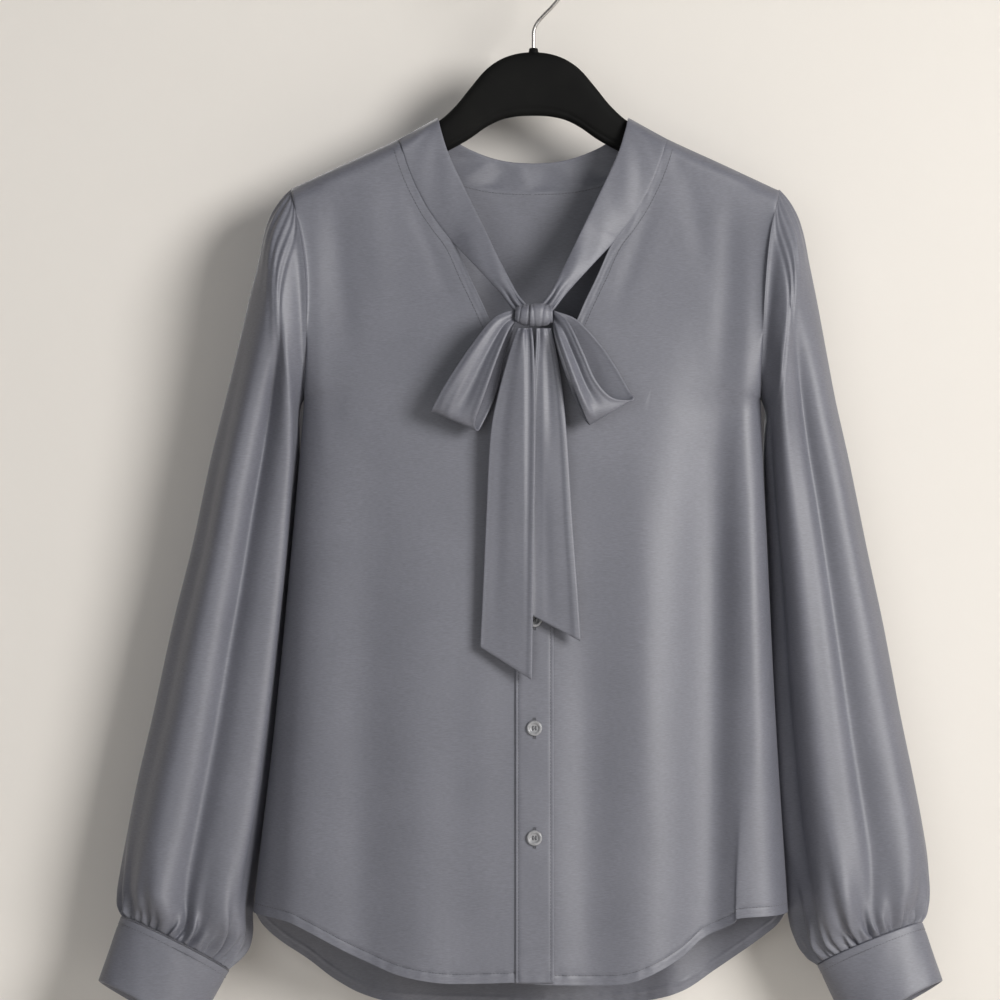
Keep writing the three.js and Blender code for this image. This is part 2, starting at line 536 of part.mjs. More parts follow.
function frontPanel(innerX, direction) {
  const grid = bodyGrid("front", innerX, direction);
  const shoulderColumn = FRONT_COLUMNS.neck.length;
  const seams = seamSquares([grid[0].length - 1], [-1, shoulderColumn]);
  // The neckline turns over the shoulder in a few columns. There the thickness has no slant across, so that the
  // wall's inside doesn't cross itself.
  const turning = (i, j) => i < 6 && j >= shoulderColumn - 2 && j <= shoulderColumn;
  const square = (i, j) => [...seams(i, j), ...(turning(i, j) ? [ACROSS] : [])];
  return wall(grid, { inward: CLOTH, sign: -direction, square });
}

function backPanel() {
  const rightHalf = bodyGrid("back", 0, -1);
  const leftHalf = bodyGrid("back", 0, 1);
  const grid = rightHalf.map((line, i) => [...line.slice(1).reverse(), ...leftHalf[i]]);
  const last = grid[0].length - 1;
  const shoulder = BACK_COLUMNS.shoulder.length;
  return wall(grid, { inward: CLOTH, square: seamSquares([0, last], [shoulder, last - shoulder]) });
}

// The button band: it lies on both fronts, over their edges.
function placket() {
  const heights = bodyGrid("front", LEFT_FRONT_EDGE, 1).map((line) => line[0].z);
  const columns = [PLACKET_LEFT, BUTTON_X, PLACKET_RIGHT];
  const grid = heights.map((z) => columns.map((x) => bodyPoint("front", x, z)));
  return wall(grid, { outward: SEAM + PLACKET_CLOTH, inward: -SEAM, sign: -1 });
}

// Uneven strength of the gathers round a sleeve, the same from one section to the next.
function gatherStrength(angle) {
  return 1 + 0.32 * Math.sin(3 * angle + 0.7) + 0.24 * Math.sin(7 * angle + 2.1);
}

function sleeveFoldRise(folds, degrees, place) {
  return folds.reduce((sum, fold) => {
    const turn = ((((degrees - fold.at) % 360) + 540) % 360) - 180;
    const strength = smooth((place - fold.starts) / (fold.full - fold.starts)) * smooth((fold.ends - place) / 3);
    const width = turn < 0 ? fold.before : fold.after;
    return sum + fold.rise * strength * Math.exp(-((turn / width) ** 2));
  }, 0);
}

// How far the gathers stand out: under the shoulder they fade down the sleeve, and above the cuff they grow.
function gatherRise(angle, place) {
  const wave = Math.cos(GATHERS * angle) * gatherStrength(angle);
  const crown = smooth((Math.sin(angle) + 0.1) / 0.5);
  const cap = 2.4 * crown * smooth(place / 0.8 + 0.25) * smooth((5 - place) / 4);
  const cuff = 3.1 * smooth((place - 11) / 3.2) * mix(1, 0.36, smooth((place - 14.6) / 1.4));
  return wave * (cap + cuff);
}

// A point of the armhole seam on the sleeve's side. Between two rows of the body it lies on their chord.
function armholePoint(direction, degrees) {
  const up = Math.sin(radians(degrees));
  if (!ARMHOLE_ROWS.some((angle) => Math.abs(Math.sin(radians(angle)) - up) < 0.001)) {
    const step = 180 / GATHERS;
    return armholePoint(direction, degrees - step).lerp(armholePoint(direction, degrees + step), 0.5);
  }
  const z = (TIP + UNDERARM) / 2 + ((TIP - UNDERARM) / 2) * up;
  const x = direction * (halfWidth(z, sideName(direction)) + SEAM);
  return new THREE.Vector3(x, -ARMHOLE_DEPTH * Math.cos(radians(degrees)), z);
}

// A point of the sleeve. angle is pi/2 at the outer line and 0 at the front, and place counts the sections.
function sleevePoint(sections, folds, angle, place) {
  const section = row(sections, place);
  const direction = Math.sign(section.outerX);
  const up = Math.sin(angle);
  const front = Math.cos(angle);
  const x = mix(section.innerX, section.outerX, (up + 1) / 2);
  const z = mix(section.innerZ, section.outerZ, (up + 1) / 2) + section.lift * front;
  const point = new THREE.Vector3(x, section.middle - section.depth * front, z);
  const centreX = (section.innerX + section.outerX) / 2;
  const centreZ = (section.innerZ + section.outerZ) / 2;
  const outward = new THREE.Vector3(x - centreX, point.y - section.middle, z - centreZ).normalize();
  const degrees = (angle * 180) / Math.PI;
  point.addScaledVector(outward, gatherRise(angle, place) + sleeveFoldRise(folds, degrees, place));
  const seamShare = 1 - smooth(place / 1.6);
  if (seamShare > 0) {
    point.lerp(armholePoint(direction, degrees), place === 0 ? 1 : seamShare * 0.75);
  }
  return point;
}

function sleeve(sections, folds) {
  const columns = GATHERS * 2;
  const grid = SLEEVE_ROWS.map((place) =>
    range(columns).map((j) => sleevePoint(sections, folds, (2 * Math.PI * j) / columns, place)),
  );
  return wall(grid, {
    inward: SLEEVE_CLOTH,
    around: true,
    sign: -Math.sign(sections[0].outerX),
    square: (i) => (i === 0 ? [ACROSS] : i === SLEEVE_ROWS.length - 1 ? [cuffAxis(sections)] : []),
  });
}

// The line down the middle of the cuff at its head, square to the ring where the sleeve ends.
function cuffAxis(sections) {
  const head = sections[sections.length - 1];
  const across = new THREE.Vector3(head.outerX - head.innerX, 0, head.outerZ - head.innerZ);
  const forward = new THREE.Vector3(0, -head.depth, head.lift);
  return across.cross(forward).normalize();
}

// A point of the cuff's outside. down runs from 0 at its seam to 1 at its foot.
function cuffPoint(sections, foot, angle, down) {
  const head = sections[sections.length - 1];
  const at = (name) => mix(head[name], foot[name], down);
  const up = Math.sin(angle);
  const front = Math.cos(angle);
  const centre = new THREE.Vector3((at("innerX") + at("outerX")) / 2, 0, (at("innerZ") + at("outerZ")) / 2);
  const across = new THREE.Vector3(at("outerX"), 0, at("outerZ")).sub(centre);
  const point = centre.clone().addScaledVector(across, up);
  point.y -= at("depth") * front;
  point.z += at("lift") * front;
  const outward = point.clone().sub(centre).normalize();
  return point.addScaledVector(outward, CUFF_CLOTH / 2);
}

function cuff(sections, foot) {
  const columns = 28;
  const head = sections[sections.length - 1];
  const length = Math.hypot(foot.outerX - head.outerX, foot.outerZ - head.outerZ);
  const grid = [(1.4 * SEAM) / length, 0.34, 0.67, 1].map((down) =>
    range(columns).map((j) => cuffPoint(sections, foot, (2 * Math.PI * j) / columns, down)),
  );
  const sign = -Math.sign(foot.outerX);
  const square = (i) => (i === 0 ? [cuffAxis(sections)] : []);
  return wall(grid, { inward: CUFF_CLOTH, around: true, sign, square });
}

// A stretch of band through rows that give its two edges.
function ribbon(table, names, rows, columns, shape, cloth) {
  const grid = range(rows).map((i) => {
    const place = ((table.length - 1) * i) / (rows - 1);
    const edge = row(table, place);
    return range(columns).map((j) => {
      const across = j / (columns - 1);
      const point = edge[names[0]].clone().lerp(edge[names[1]], across);
      return shape(point, across, edge, place);
    });
  });
  return wall(grid, { outward: cloth / 2, inward: cloth / 2 });
}

// Rows of the neckband on one side. Its sewn edge is the panel's own neckline moved off by the gap of a seam.
function neckbandRows(table, face, innerX, direction) {
  const neckline = bodyGrid(face, innerX, direction)[0];
  const sewnPoint = (column) => {
    const along = neckline[column + 1].clone().sub(neckline[Math.max(0, column - 1)]).normalize();
    const away = along.cross(FRONT_TO_BACK).multiplyScalar(direction).normalize();
    return neckline[column].clone().addScaledVector(away, 1.3 * SEAM);
  };
  return table.map(({ sewn, seam, free, bulge }) => ({
    seam: seam ? new THREE.Vector3(seam[0] * direction, seam[1], seam[2]) : sewnPoint(sewn),
    free: new THREE.Vector3(free[0] * direction, free[1], free[2]),
    bulge,
  }));
}

// The neckband between its rows, four points across. bulges is -1 towards the front and 1 towards the back.
function neckband(rows, bulges, ends) {
  const grid = rows.map(({ seam, free, bulge }) =>
    [0, 0.33, 0.67, 1].map((across) => {
      const point = seam.clone().lerp(free, across);
      point.y += bulges * bulge * 4 * across * (1 - across);
      return point;
    }),
  );
  const square = (i) => (ends.includes(i) ? [FRONT_TO_BACK] : []);
  return wall(grid, { outward: BAND_CLOTH / 2, inward: BAND_CLOTH / 2, square });
}

function neckbandFront(direction) {
  const innerX = direction < 0 ? RIGHT_FRONT_EDGE : LEFT_FRONT_EDGE;
  return neckband(neckbandRows(NECKBAND_FRONT, "front", innerX, direction), -1, [0]);
}

function neckbandBack() {
  const leftHalf = neckbandRows(NECKBAND_BACK, "back", 0, 1);
  const rightHalf = neckbandRows(NECKBAND_BACK, "back", 0, -1);
  const rows = [...leftHalf, ...rightHalf.reverse().slice(1)];
  return neckband(rows, 1, [0, rows.length - 1]);
}

// The loops of the bow are pleated where the knot holds them.
function bowLoop(table) {
  const last = table.length - 1;
  const pleat = (point, across, edge, place) => {
    const held = 1 - smooth(Math.min(place, last - place) / 2.4);
    const facing = place < last / 2 ? -1 : 1;
    const belly = 2.2 * Math.sin(Math.PI * clamp01(place / last)) * 4 * across * (1 - across);
    point.y += facing * belly + held * Math.cos(across * Math.PI * 3);
    return point;
  };
  return ribbon(table, ["outer", "inner"], 21, 6, pleat, BAND_CLOTH * 0.8);
}

function bowTail(table) {
  const pleat = (point, across, edge) => {
    point.y += edge.fold * 0.5 * Math.cos(across * Math.PI * 4);
    return point;
  };
  return ribbon(table, ["outer", "inner"], 11, 9, pleat, BAND_CLOTH * 0.8);
}

// The knot: a short fat roll along X, pinched towards its ends, with the pleats of the band round it.
function knot() {
  const sides = 16;
  const rings = range(9).map((i) => {
    const along = mix(-1, 1, i / 8);
    const swell = Math.sqrt(1 - 0.62 * along ** 4);
    const crease = 1 - 0.07 * Math.exp(-(((along + 0.22) / 0.14) ** 2));
    return range(sides).map((j) => {
      const angle = (2 * Math.PI * j) / sides;
      const roundness = (c) => Math.sign(c) * Math.abs(c) ** 0.8;
      return new THREE.Vector3(
        KNOT.x + KNOT.halfWidth * along,
        KNOT.y + KNOT.halfDepth * swell * crease * roundness(Math.cos(angle)),
        KNOT.z + KNOT.halfHeight * swell * crease * roundness(Math.sin(angle)),
      );
    });
  });
  return loft(rings);
}

function hangerBody() {
  const half = HANGER_SECTIONS;
  const other = half.slice(1).map((s) => ({ ...s, x: -s.x }));
  const sections = [...other.reverse(), ...half];
  const sides = 14;
  const rings = sections.map((s) =>
    range(sides).map((j) => {
      const angle = (2 * Math.PI * (j + 0.5)) / sides;
      const soft = (c) => Math.sign(c) * Math.abs(c) ** s.fullness;
      const height = (s.top - s.bottom) / 2;
      const centre = (s.top + s.bottom) / 2;
      return new THREE.Vector3(s.x, s.depth * soft(Math.cos(angle)), centre + height * soft(Math.sin(angle)));
    }),
  );
  return loft(rings);
}

// The hook's line: up its stem, out to the right, then round the top and down to its end at the left.
function hookPath() {
  const centre = new THREE.Vector2(2, WIRE_RADIUS - HOOK_RADIUS);
  const points = [
    [0.4, -79.65],
    [0.4, -70],
    [0.8, -62.5],
    [3.6, -56.5],
    [8.5, -50.8],
    [14, -45.2],
  ];
  for (const degrees of [-42, -26, -10, 8, 26, 44, 62, 80, 98, 116, 134, 152, 170, 186, 200]) {
    const angle = radians(degrees);
    points.push([centre.x + HOOK_RADIUS * Math.cos(angle), centre.y + HOOK_RADIUS * Math.sin(angle)]);
  }
  return new THREE.CatmullRomCurve3(points.map(([x, z]) => new THREE.Vector3(x, 0, z)));
}

function hangerHook() {
  const section = new THREE.Shape();
  section.absarc(0, 0, WIRE_RADIUS, 0, 2 * Math.PI);
  const options = { extrudePath: hookPath(), steps: 36, curveSegments: 4, bevelEnabled: false };
  return new THREE.ExtrudeGeometry(section, options);
}

// A button with a raised rim and a sunk middle, lying on the point of the band below it.
function button(point, tilt) {
  const profile = [
    [0, -1.6],
    [BUTTON_RADIUS * 0.5, -1.7],
    [BUTTON_RADIUS * 0.7, -2.5],
    [BUTTON_RADIUS * 0.93, -2.2],
    [BUTTON_RADIUS, -0.8],
    [BUTTON_RADIUS * 0.86, 0],
    [0, 0],
  ];
  const geometry = new THREE.LatheGeometry(profile.map(([r, y]) => new THREE.Vector2(r, y)), 12);
  const mesh = new THREE.Mesh(geometry, BUTTON);
  mesh.position.copy(point);
  mesh.rotation.x = tilt;
  return mesh;
}

function frontButton(z) {
  const on = SEAM + PLACKET_CLOTH + SEAM;
  const point = bodyPoint("front", BUTTON_X, z);
  const slope = (bodyPoint("front", BUTTON_X, z - 6).y - bodyPoint("front", BUTTON_X, z + 6).y) / 12;
  return button(point.add(new THREE.Vector3(0, -on, 0)), Math.atan(slope));
}

// The cuff's own button, on the side away from the front.
function cuffButton(sections, foot) {
  const angle = Math.PI + 0.12 * Math.sign(foot.outerX);
  const point = cuffPoint(sections, foot, angle, 0.5);
  const higher = cuffPoint(sections, foot, angle, 0.4);
  const lower = cuffPoint(sections, foot, angle, 0.6);
  const along = new THREE.Vector3().subVectors(lower, higher).normalize();
  const beside = cuffPoint(sections, foot, angle + 0.1, 0.5).sub(cuffPoint(sections, foot, angle - 0.1, 0.5));
  const facing = new THREE.Vector3().crossVectors(along, beside).normalize();
  if (facing.y < 0) facing.negate();
  const mesh = button(point.addScaledVector(facing, SEAM + 0.15), 0);
  mesh.quaternion.setFromUnitVectors(new THREE.Vector3(0, -1, 0), facing);
  return mesh;
}

const blouse = new THREE.Group();
function add(name, geometry, material) {
  const mesh = new THREE.Mesh(geometry, material);
  mesh.name = name;
  blouse.add(mesh);
}

add("hanger_body", hangerBody(), BLACK_PLASTIC);
add("hanger_hook", hangerHook(), STEEL);
add("front_right", frontPanel(RIGHT_FRONT_EDGE, -1), SATIN);
add("front_left", frontPanel(LEFT_FRONT_EDGE, 1), SATIN);
add("back", backPanel(), SATIN);
add("button_band", placket(), SATIN);
add("sleeve_right", sleeve(RIGHT_SLEEVE, RIGHT_SLEEVE_FOLDS), SATIN);
add("sleeve_left", sleeve(LEFT_SLEEVE, LEFT_SLEEVE_FOLDS), SATIN);
add("cuff_right", cuff(RIGHT_SLEEVE, RIGHT_CUFF_FOOT), SATIN);
add("cuff_left", cuff(LEFT_SLEEVE, LEFT_CUFF_FOOT), SATIN);
add("neckband_back", neckbandBack(), SATIN);
add("neckband_right", neckbandFront(-1), SATIN);
add("neckband_left", neckbandFront(1), SATIN);
add("bow_knot", knot(), SATIN);
add("bow_loop_right", bowLoop(RIGHT_LOOP), SATIN);
add("bow_loop_left", bowLoop(LEFT_LOOP), SATIN);
add("bow_tail_right", bowTail(RIGHT_TAIL), SATIN);
add("bow_tail_left", bowTail(LEFT_TAIL), SATIN);
BUTTON_HEIGHTS.forEach((z, i) => {
  const mesh = frontButton(z);
  mesh.name = `button_${i + 1}`;
  blouse.add(mesh);
});
for (const [name, sections, foot] of [
  ["cuff_button_right", RIGHT_SLEEVE, RIGHT_CUFF_FOOT],
  ["cuff_button_left", LEFT_SLEEVE, LEFT_CUFF_FOOT],
]) {
  const mesh = cuffButton(sections, foot);
  mesh.name = name;
  blouse.add(mesh);
}

export default blouse;
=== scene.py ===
"""Looks of a tie-neck satin blouse on a moulded hanger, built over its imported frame.

Lengths are millimetres in the part's frame, and become metres where a mesh is made. +X is to the right of
someone facing the blouse, -Y is its front, +Z is up, and the origin is the underside of the top of the hook.
left and right are the wearer's, so the wearer's right is at -X.
"""
import math

import bpy
import numpy as np
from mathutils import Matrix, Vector


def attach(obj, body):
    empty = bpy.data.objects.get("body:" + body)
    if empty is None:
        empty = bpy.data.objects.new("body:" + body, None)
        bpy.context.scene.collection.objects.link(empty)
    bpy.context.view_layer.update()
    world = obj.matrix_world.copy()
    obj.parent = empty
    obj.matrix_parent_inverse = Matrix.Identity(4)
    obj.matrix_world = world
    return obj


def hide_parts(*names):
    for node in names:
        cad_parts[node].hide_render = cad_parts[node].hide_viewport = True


MM = 0.001
ACROSS = np.array([1.0, 0, 0])
FRONT_TO_BACK = np.array([0, 1.0, 0])

# Driving sizes
CLOTH = 0.7  # one layer of satin with its hems pressed
SLEEVE_CLOTH = 0.6
BAND_HALF = 0.6  # half the thickness of the doubled tie and neckband
CUFF_HALF = 1.1
SEAM = 0.14  # gap between two sewn pieces
UNDERARM = -358
TIP = -190
NECK_X = 106
ARMHOLE_DEPTH = 27
WRAP_DEPTH = 17
WRAP_DROP = 13
EASE_DROP = 230
FRONT_EDGE = -336
FRONT_HEM = -819
SIDE_HEM = -767
HEM_WIDTH = 7.6  # edge to stitch line
PLACKET_LEFT = -14.4
PLACKET_RIGHT = 16
PLACKET_HALF = 0.7
PLACKET_GAP = 0.45
PLACKET_TOP = PLACKET_GAP + 2 * PLACKET_HALF
PLACKET_STITCH = 2.6  # edge of the band to its stitch line
RIGHT_FRONT_EDGE = -11
LEFT_FRONT_EDGE = -9
BUTTON_HEIGHTS = [-360, -446, -532.5, -618, -704]
BUTTON_X = 0.6
WIRE_RADIUS = 1.5
HOOK_RADIUS = 24
STITCH_PITCH = 2.7
STITCH_LENGTH = 1.9
STITCH_RADIUS = 0.26
ARMHOLE_ROWS = 45
HEM_ROWS = 12
HEM_REACH = 11  # height over which the rows are close together
LAST_SECTION = 16  # the sleeve's section at the cuff
CUFF_GATHERS = 38
CAP_GATHERS = 11
LIGHT_TARGET = (0, 0, -0.45)  # metres


def table(names, *rows):
    """Named columns of numbers."""
    return dict(zip(names.split(), np.array(rows, float).T))


# Sections of the body at each height: half widths, depths at the middle and the power of the superellipse.
BODY_SECTIONS = table(
    "z right left front back power",
    (-120, 196, 199, 17, 17, 5),
    (-192, 193, 196.5, 22, 20, 5),
    (-222, 185.5, 189, 25, 22, 4.6),
    (-260, 180.5, 184.5, 28, 24, 4.2),
    (-310, 180, 182, 32, 27, 3.8),
    (-358, 183, 182, 35, 29, 3.4),
    (-480, 193.5, 187.5, 41, 33, 3),
    (-620, 207, 194.5, 47, 38, 2.8),
    (-768, 224, 204, 53, 43, 2.6),
    (-860, 232, 209, 56, 45, 2.5),
)
SHOULDER_LINE = table("x z", (0, -104), (40, -117), (76, -132.5), (106, -149), (150, -169.3), (200, -192.5))
V_EDGE = table(
    "x z",
    (15.2, -336), (35, -294.5), (40, -283), (51, -260), (62, -235.5), (75, -217.5), (85, -202),
    (97, -177), (106, -149.5),
)
# The hem's height by the share of the way from the middle to the side seam.
FRONT_HEM_LINE = table(
    "across right left",
    (0, -817, -819), (0.27, -818.6, -820.2), (0.37, -816.5, -817.9), (0.475, -811.5, -809.6),
    (0.58, -802, -797.4), (0.65, -795, -785.5), (0.72, -787, -778.4), (0.8, -778, -771.3),
    (0.87, -771.5, -768), (1, -767, -767),
)
BACK_HEM_LINE = table(
    "across right left",
    (0, -850, -850), (0.3, -849, -848.5), (0.47, -845.5, -843), (0.6, -838.5, -834),
    (0.7, -826.5, -821), (0.8, -809, -806.5), (0.9, -793.5, -791), (0.965, -780, -779),
    (1, -767, -767),
)
V_STEEPNESS = 0.62  # distance from the V's edge for each millimetre of height below it
BACK_NECK = {"middle": -190.4, "rise": 41, "power": 2.8}

# Soft vertical folds: place at the underarm and at the hem, how far it stands out, its width to either side,
# and the heights where it starts and is full.
FOLD_NAMES = "upper_x hem_x rise before after starts full"
FRONT_FOLDS = table(
    FOLD_NAMES,
    (-172, -196, 5, 12, 26, -290, -600),
    (-130, -138, -4, 18, 22, -300, -700),
    (-84, -86, 3, 22, 26, -330, -819),
    (44, 46, -5, 20, 24, -330, -700),
    (98, 92, 2, 36, 26, -300, -700),
    (146, 139, -16, 29, 17, -270, -500),
    (179, 192, 16, 20, 10, -280, -540),
)
BACK_FOLDS = table(
    FOLD_NAMES,
    (-150, -162, 4, 20, 24, -300, -819),
    (-104, -112, -8, 20, 18, -270, -700),
    (-52, -58, 4, 24, 26, -300, -819),
    (8, 2, -5, 26, 20, -340, -819),
    (62, 58, 4.5, 22, 24, -290, -819),
    (112, 112, -8, 18, 18, -260, -700),
    (148, 152, 4, 18, 20, -300, -819),
)
# Creases laid on the upper body: from one end to the other, how far each stands out and its width.
CREASE_NAMES = "x1 z1 x2 z2 rise width"
FRONT_CREASES = table(
    CREASE_NAMES,
    (-158, -196, -146, -330, -1.6, 9),
    (-174, -210, -166, -420, 1.3, 7),
    (-134, -168, -118, -300, 1.0, 12),
    (-100, -196, -62, -286, -0.9, 6),
    (-176, -352, -120, -420, -0.8, 9),
    (118, -160, 140, -260, -0.9, 9),
    (112, -152, 116, -178, -1.5, 3.2),
    (158, -196, 150, -350, -1.5, 9),
    (172, -230, 166, -430, 1.2, 7),
    (100, -190, 64, -290, -0.8, 7),
    (176, -352, 130, -410, -0.8, 9),
    (-40, -560, -44, -780, 0.9, 15),
    (86, -420, 90, -700, 1.2, 15),
)
BACK_CREASES = table(
    CREASE_NAMES,
    (-150, -190, -140, -330, -1.5, 10),
    (-172, -215, -164, -420, 1.2, 8),
    (-40, -200, -30, -330, 1.0, 14),
    (36, -205, 28, -330, -1.0, 14),
    (150, -190, 142, -330, -1.5, 10),
    (172, -215, 164, -420, 1.2, 8),
    (-176, -352, -110, -420, -0.9, 9),
    (176, -352, 112, -420, -0.9, 9),
)

# Sleeve sections from the armhole to the cuff: half depth, lift of the front and middle, which both sleeves
# share, and each sleeve's outer and inner point.
SLEEVE_DEPTHS = table(
    "depth lift middle",
    (27, 0, 0), (33, 0, 0), (38, 0, 1), (39, 0, 4),
    (39, 0, 8), (38.5, 0, 11), (38.5, 0, 13), (38.5, 0, 14),
    (39, 1, 15), (40, 2, 15), (41, 3, 15), (42, 4, 15),
    (43, 5, 14), (42, 6, 12), (38, 6.5, 9), (30, 6.5, 5),
    (20, 6, 0),
)


def sleeve_sections(*rows):
    return {**table("outer_x outer_z inner_x inner_z", *rows), **SLEEVE_DEPTHS}


RIGHT_SLEEVE = sleeve_sections(
    (-193, -190, -183, -358), (-203, -199, -185.6, -363),
    (-213.5, -219, -187, -373), (-220, -248, -187, -388),
    (-228, -278, -187.4, -408), (-236, -312, -188.4, -430),
    (-245.5, -352, -190.2, -455), (-258.5, -405, -192.4, -484),
    (-273, -474, -196.6, -528), (-289, -538, -201.8, -583),
    (-304.5, -608, -207.6, -640), (-318, -664, -214.5, -693),
    (-327.5, -712, -222.5, -741), (-332, -745, -226, -768),
    (-332, -759, -226.5, -785), (-331, -767, -231, -799),
    (-328.5, -771.5, -243.5, -813.5),
)
LEFT_SLEEVE = sleeve_sections(
    (196.5, -190, 182, -358), (208, -203, 184.5, -363),
    (216, -224, 186, -373), (221.5, -250, 185, -388),
    (228.5, -282, 184.8, -408), (235.5, -318, 185.2, -430),
    (243.5, -360, 186.2, -455), (254.5, -410, 187.4, -484),
    (268.5, -480, 189, -528), (281, -538, 191, -583),
    (294.5, -608, 194.2, -640), (306.5, -664, 198, -693),
    (316, -714, 203, -736), (318, -744, 206, -763),
    (317, -758, 209.5, -783), (314.5, -768, 216.5, -799),
    (310.5, -776.5, 228, -809.5),
)
# Long folds of a sleeve: degrees round it (90 outer line, 0 front, -90 inner line, 180 back), how far each
# stands out, its width in degrees to either side and the sections where it starts, is full and ends.
SLEEVE_FOLD_NAMES = "at rise before after starts full ends"
RIGHT_SLEEVE_FOLDS = table(
    SLEEVE_FOLD_NAMES,
    (58, -3, 14, 14, 2, 8, 16),
    (27, 4, 14, 16, 0, 5, 16),
    (-6, -12, 15, 12, 1, 5, 16),
    (-45, 8, 11, 15, 1, 5, 16),
    (150, -7, 14, 14, 1, 6, 16),
    (180, 3, 16, 16, 1, 5, 16),
    (212, -6, 14, 14, 2, 7, 16),
)
LEFT_SLEEVE_FOLDS = table(
    SLEEVE_FOLD_NAMES,
    (44, 3, 13, 16, 2, 8, 16),
    (12, -8, 11, 13, 1, 5, 16),
    (-22, 5, 15, 11, 0, 4, 16),
    (-60, -8, 14, 14, 1, 5, 16),
    (146, -7, 14, 14, 1, 6, 16),
    (178, 3, 16, 16, 1, 5, 16),
    (214, -6, 14, 14, 2, 7, 16),
)
CUFF_FOOT = {"outer_z": -824, "depth": 26, "lift": 7}
RIGHT_CUFF_FOOT = {"outer_x": -346.5, "inner_x": -273, "inner_z": -864, **CUFF_FOOT}
LEFT_CUFF_FOOT = {"outer_x": 326.5, "inner_x": 254.5, "inner_z": -863, **CUFF_FOOT}

HANGER_SECTIONS = table(
    "x top bottom depth fullness",
    (0, -80, -131, 6.5, 0.6), (13, -81.5, -131.6, 6.5, 0.6), (26, -86, -134.5, 6.7, 0.6),
    (38, -94.5, -140.5, 7, 0.6), (50, -108.5, -149, 7, 0.65), (62, -123.2, -156, 7, 0.7),
    (76, -135.6, -163, 7.2, 0.8), (106, -151, -175, 8, 0.85), (150, -171.3, -190, 9.6, 0.85),
    (174, -182.6, -200, 9.6, 0.85), (180, -187, -196, 6, 0.85),
)

# The neckband from the shoulder: where its edge is sewn (the neckline's x, or free below that), its free
# edge, and how far its middle stands out.
EDGE_NAMES = "at x y z"
FRONT_SEWN = table("at x", (0, 106), (1, 103.9), (2, 100), (3, 91), (4, 78), (5, 64.5))
FRONT_HANGING = table(
    EDGE_NAMES, (6, 44.5, -31.5, -254), (7, 26.5, -37, -274), (8, 16.5, -40.2, -287), (9, 9.5, -41.6, -294.5)
)
FRONT_FREE = table(
    EDGE_NAMES + " bulge",
    (0, 76.5, -0.2, -133.4, 0.2), (1, 75.6, -9.6, -136.4, 0.4), (2, 73.5, -14, -145, 0.7),
    (3, 67, -17.5, -165, 1), (4, 52.6, -22, -196, 1.2), (5, 40, -27, -222, 1.4),
    (6, 28.5, -32, -246, 1.8), (7, 19.5, -36.5, -263.5, 2), (8, 12, -39.4, -277, 1.2),
    (9, 4, -41.4, -286.5, 0.2),
)
BACK_SEWN = table("at x", (0, 106), (1, 103.9), (2, 98.6), (3, 85), (4, 64), (5, 42), (6, 21), (7, 0))
BACK_FREE = table(
    EDGE_NAMES + " bulge",
    (0, 76.5, 0.2, -133.4, 0.2), (1, 75, 10, -136.8, 0.3), (2, 70, 14, -144, 0.5),
    (3, 58, 16.8, -153, 0.7), (4, 46, 18.2, -159, 0.8), (5, 32, 19.2, -164, 0.9),
    (6, 17, 19.7, -167, 1), (7, 0, 19.8, -168, 1),
)
# Small tucks of the neckband at the back: place, lean across it, how far each stands out and its width.
BACK_NECK_TUCKS = (
    (-52, 14, 0.9, 6), (-38, 10, -1, 5), (-24, 8, 0.9, 6), (-8, -6, -0.8, 6), (8, 6, 0.6, 7),
    (24, -9, -0.8, 6), (41, -12, 0.7, 7), (56, -12, -0.7, 6),
)
NECKBAND_ACROSS = np.linspace(0, 1, 21)[None, :]
KNOT = {"x": 0.4, "y": -52.5, "z": -293, "half_width": 14.6, "half_height": 9.2, "half_depth": 9.5}
# Creases round the knot: place along it, slant, depth and width.
KNOT_CREASES = (
    (-0.26, 0.05, 0.17, 0.045), (-0.06, -0.08, 0.05, 0.05), (-0.72, 0.1, 0.07, 0.05),
    (0.52, 0.12, 0.05, 0.08), (0.82, -0.05, 0.09, 0.05),
)
RIBBON_NAMES = "outer_x outer_y outer_z inner_x inner_y inner_z"
RIGHT_LOOP = table(
    RIBBON_NAMES,
    (-15, -52, -289, -15, -52, -297.5),
    (-31, -58, -296.5, -20.5, -58.5, -306),
    (-49, -62, -318.5, -29, -62.5, -326.5),
    (-67.5, -62, -346, -39, -63, -354.5),
    (-78, -58.5, -364.5, -46.5, -60, -376),
    (-79.5, -54, -368.5, -44.5, -54.5, -383.5),
    (-75.5, -49.5, -361.5, -40.5, -49.5, -377.5),
    (-64.5, -47.5, -344, -31, -47, -356.5),
    (-47.5, -46.5, -320, -23.5, -46.5, -326.5),
    (-29.5, -47.5, -300.5, -18, -47.5, -308.5),
    (-15, -47.8, -289.5, -15, -47.8, -298),
)
LEFT_LOOP = table(
    RIBBON_NAMES,
    (15.9, -52.2, -290, 15.9, -52.2, -298.5),
    (27, -60, -300, 19, -61, -312.5),
    (38.5, -63, -324, 26.5, -65, -334.5),
    (48, -61.5, -345, 34.5, -65, -356),
    (61, -58.5, -358.5, 41, -61, -372.5),
    (77.6, -54, -359.5, 44.5, -55, -378.5),
    (74.5, -50, -353, 40.5, -49.5, -374),
    (64.5, -48, -335, 31.5, -46.8, -354.5),
    (52, -46.5, -316.5, 22.5, -46.2, -330.5),
    (33.5, -47.2, -297, 16.5, -47, -309),
    (15.9, -47.8, -290, 15.9, -47.8, -299),
)
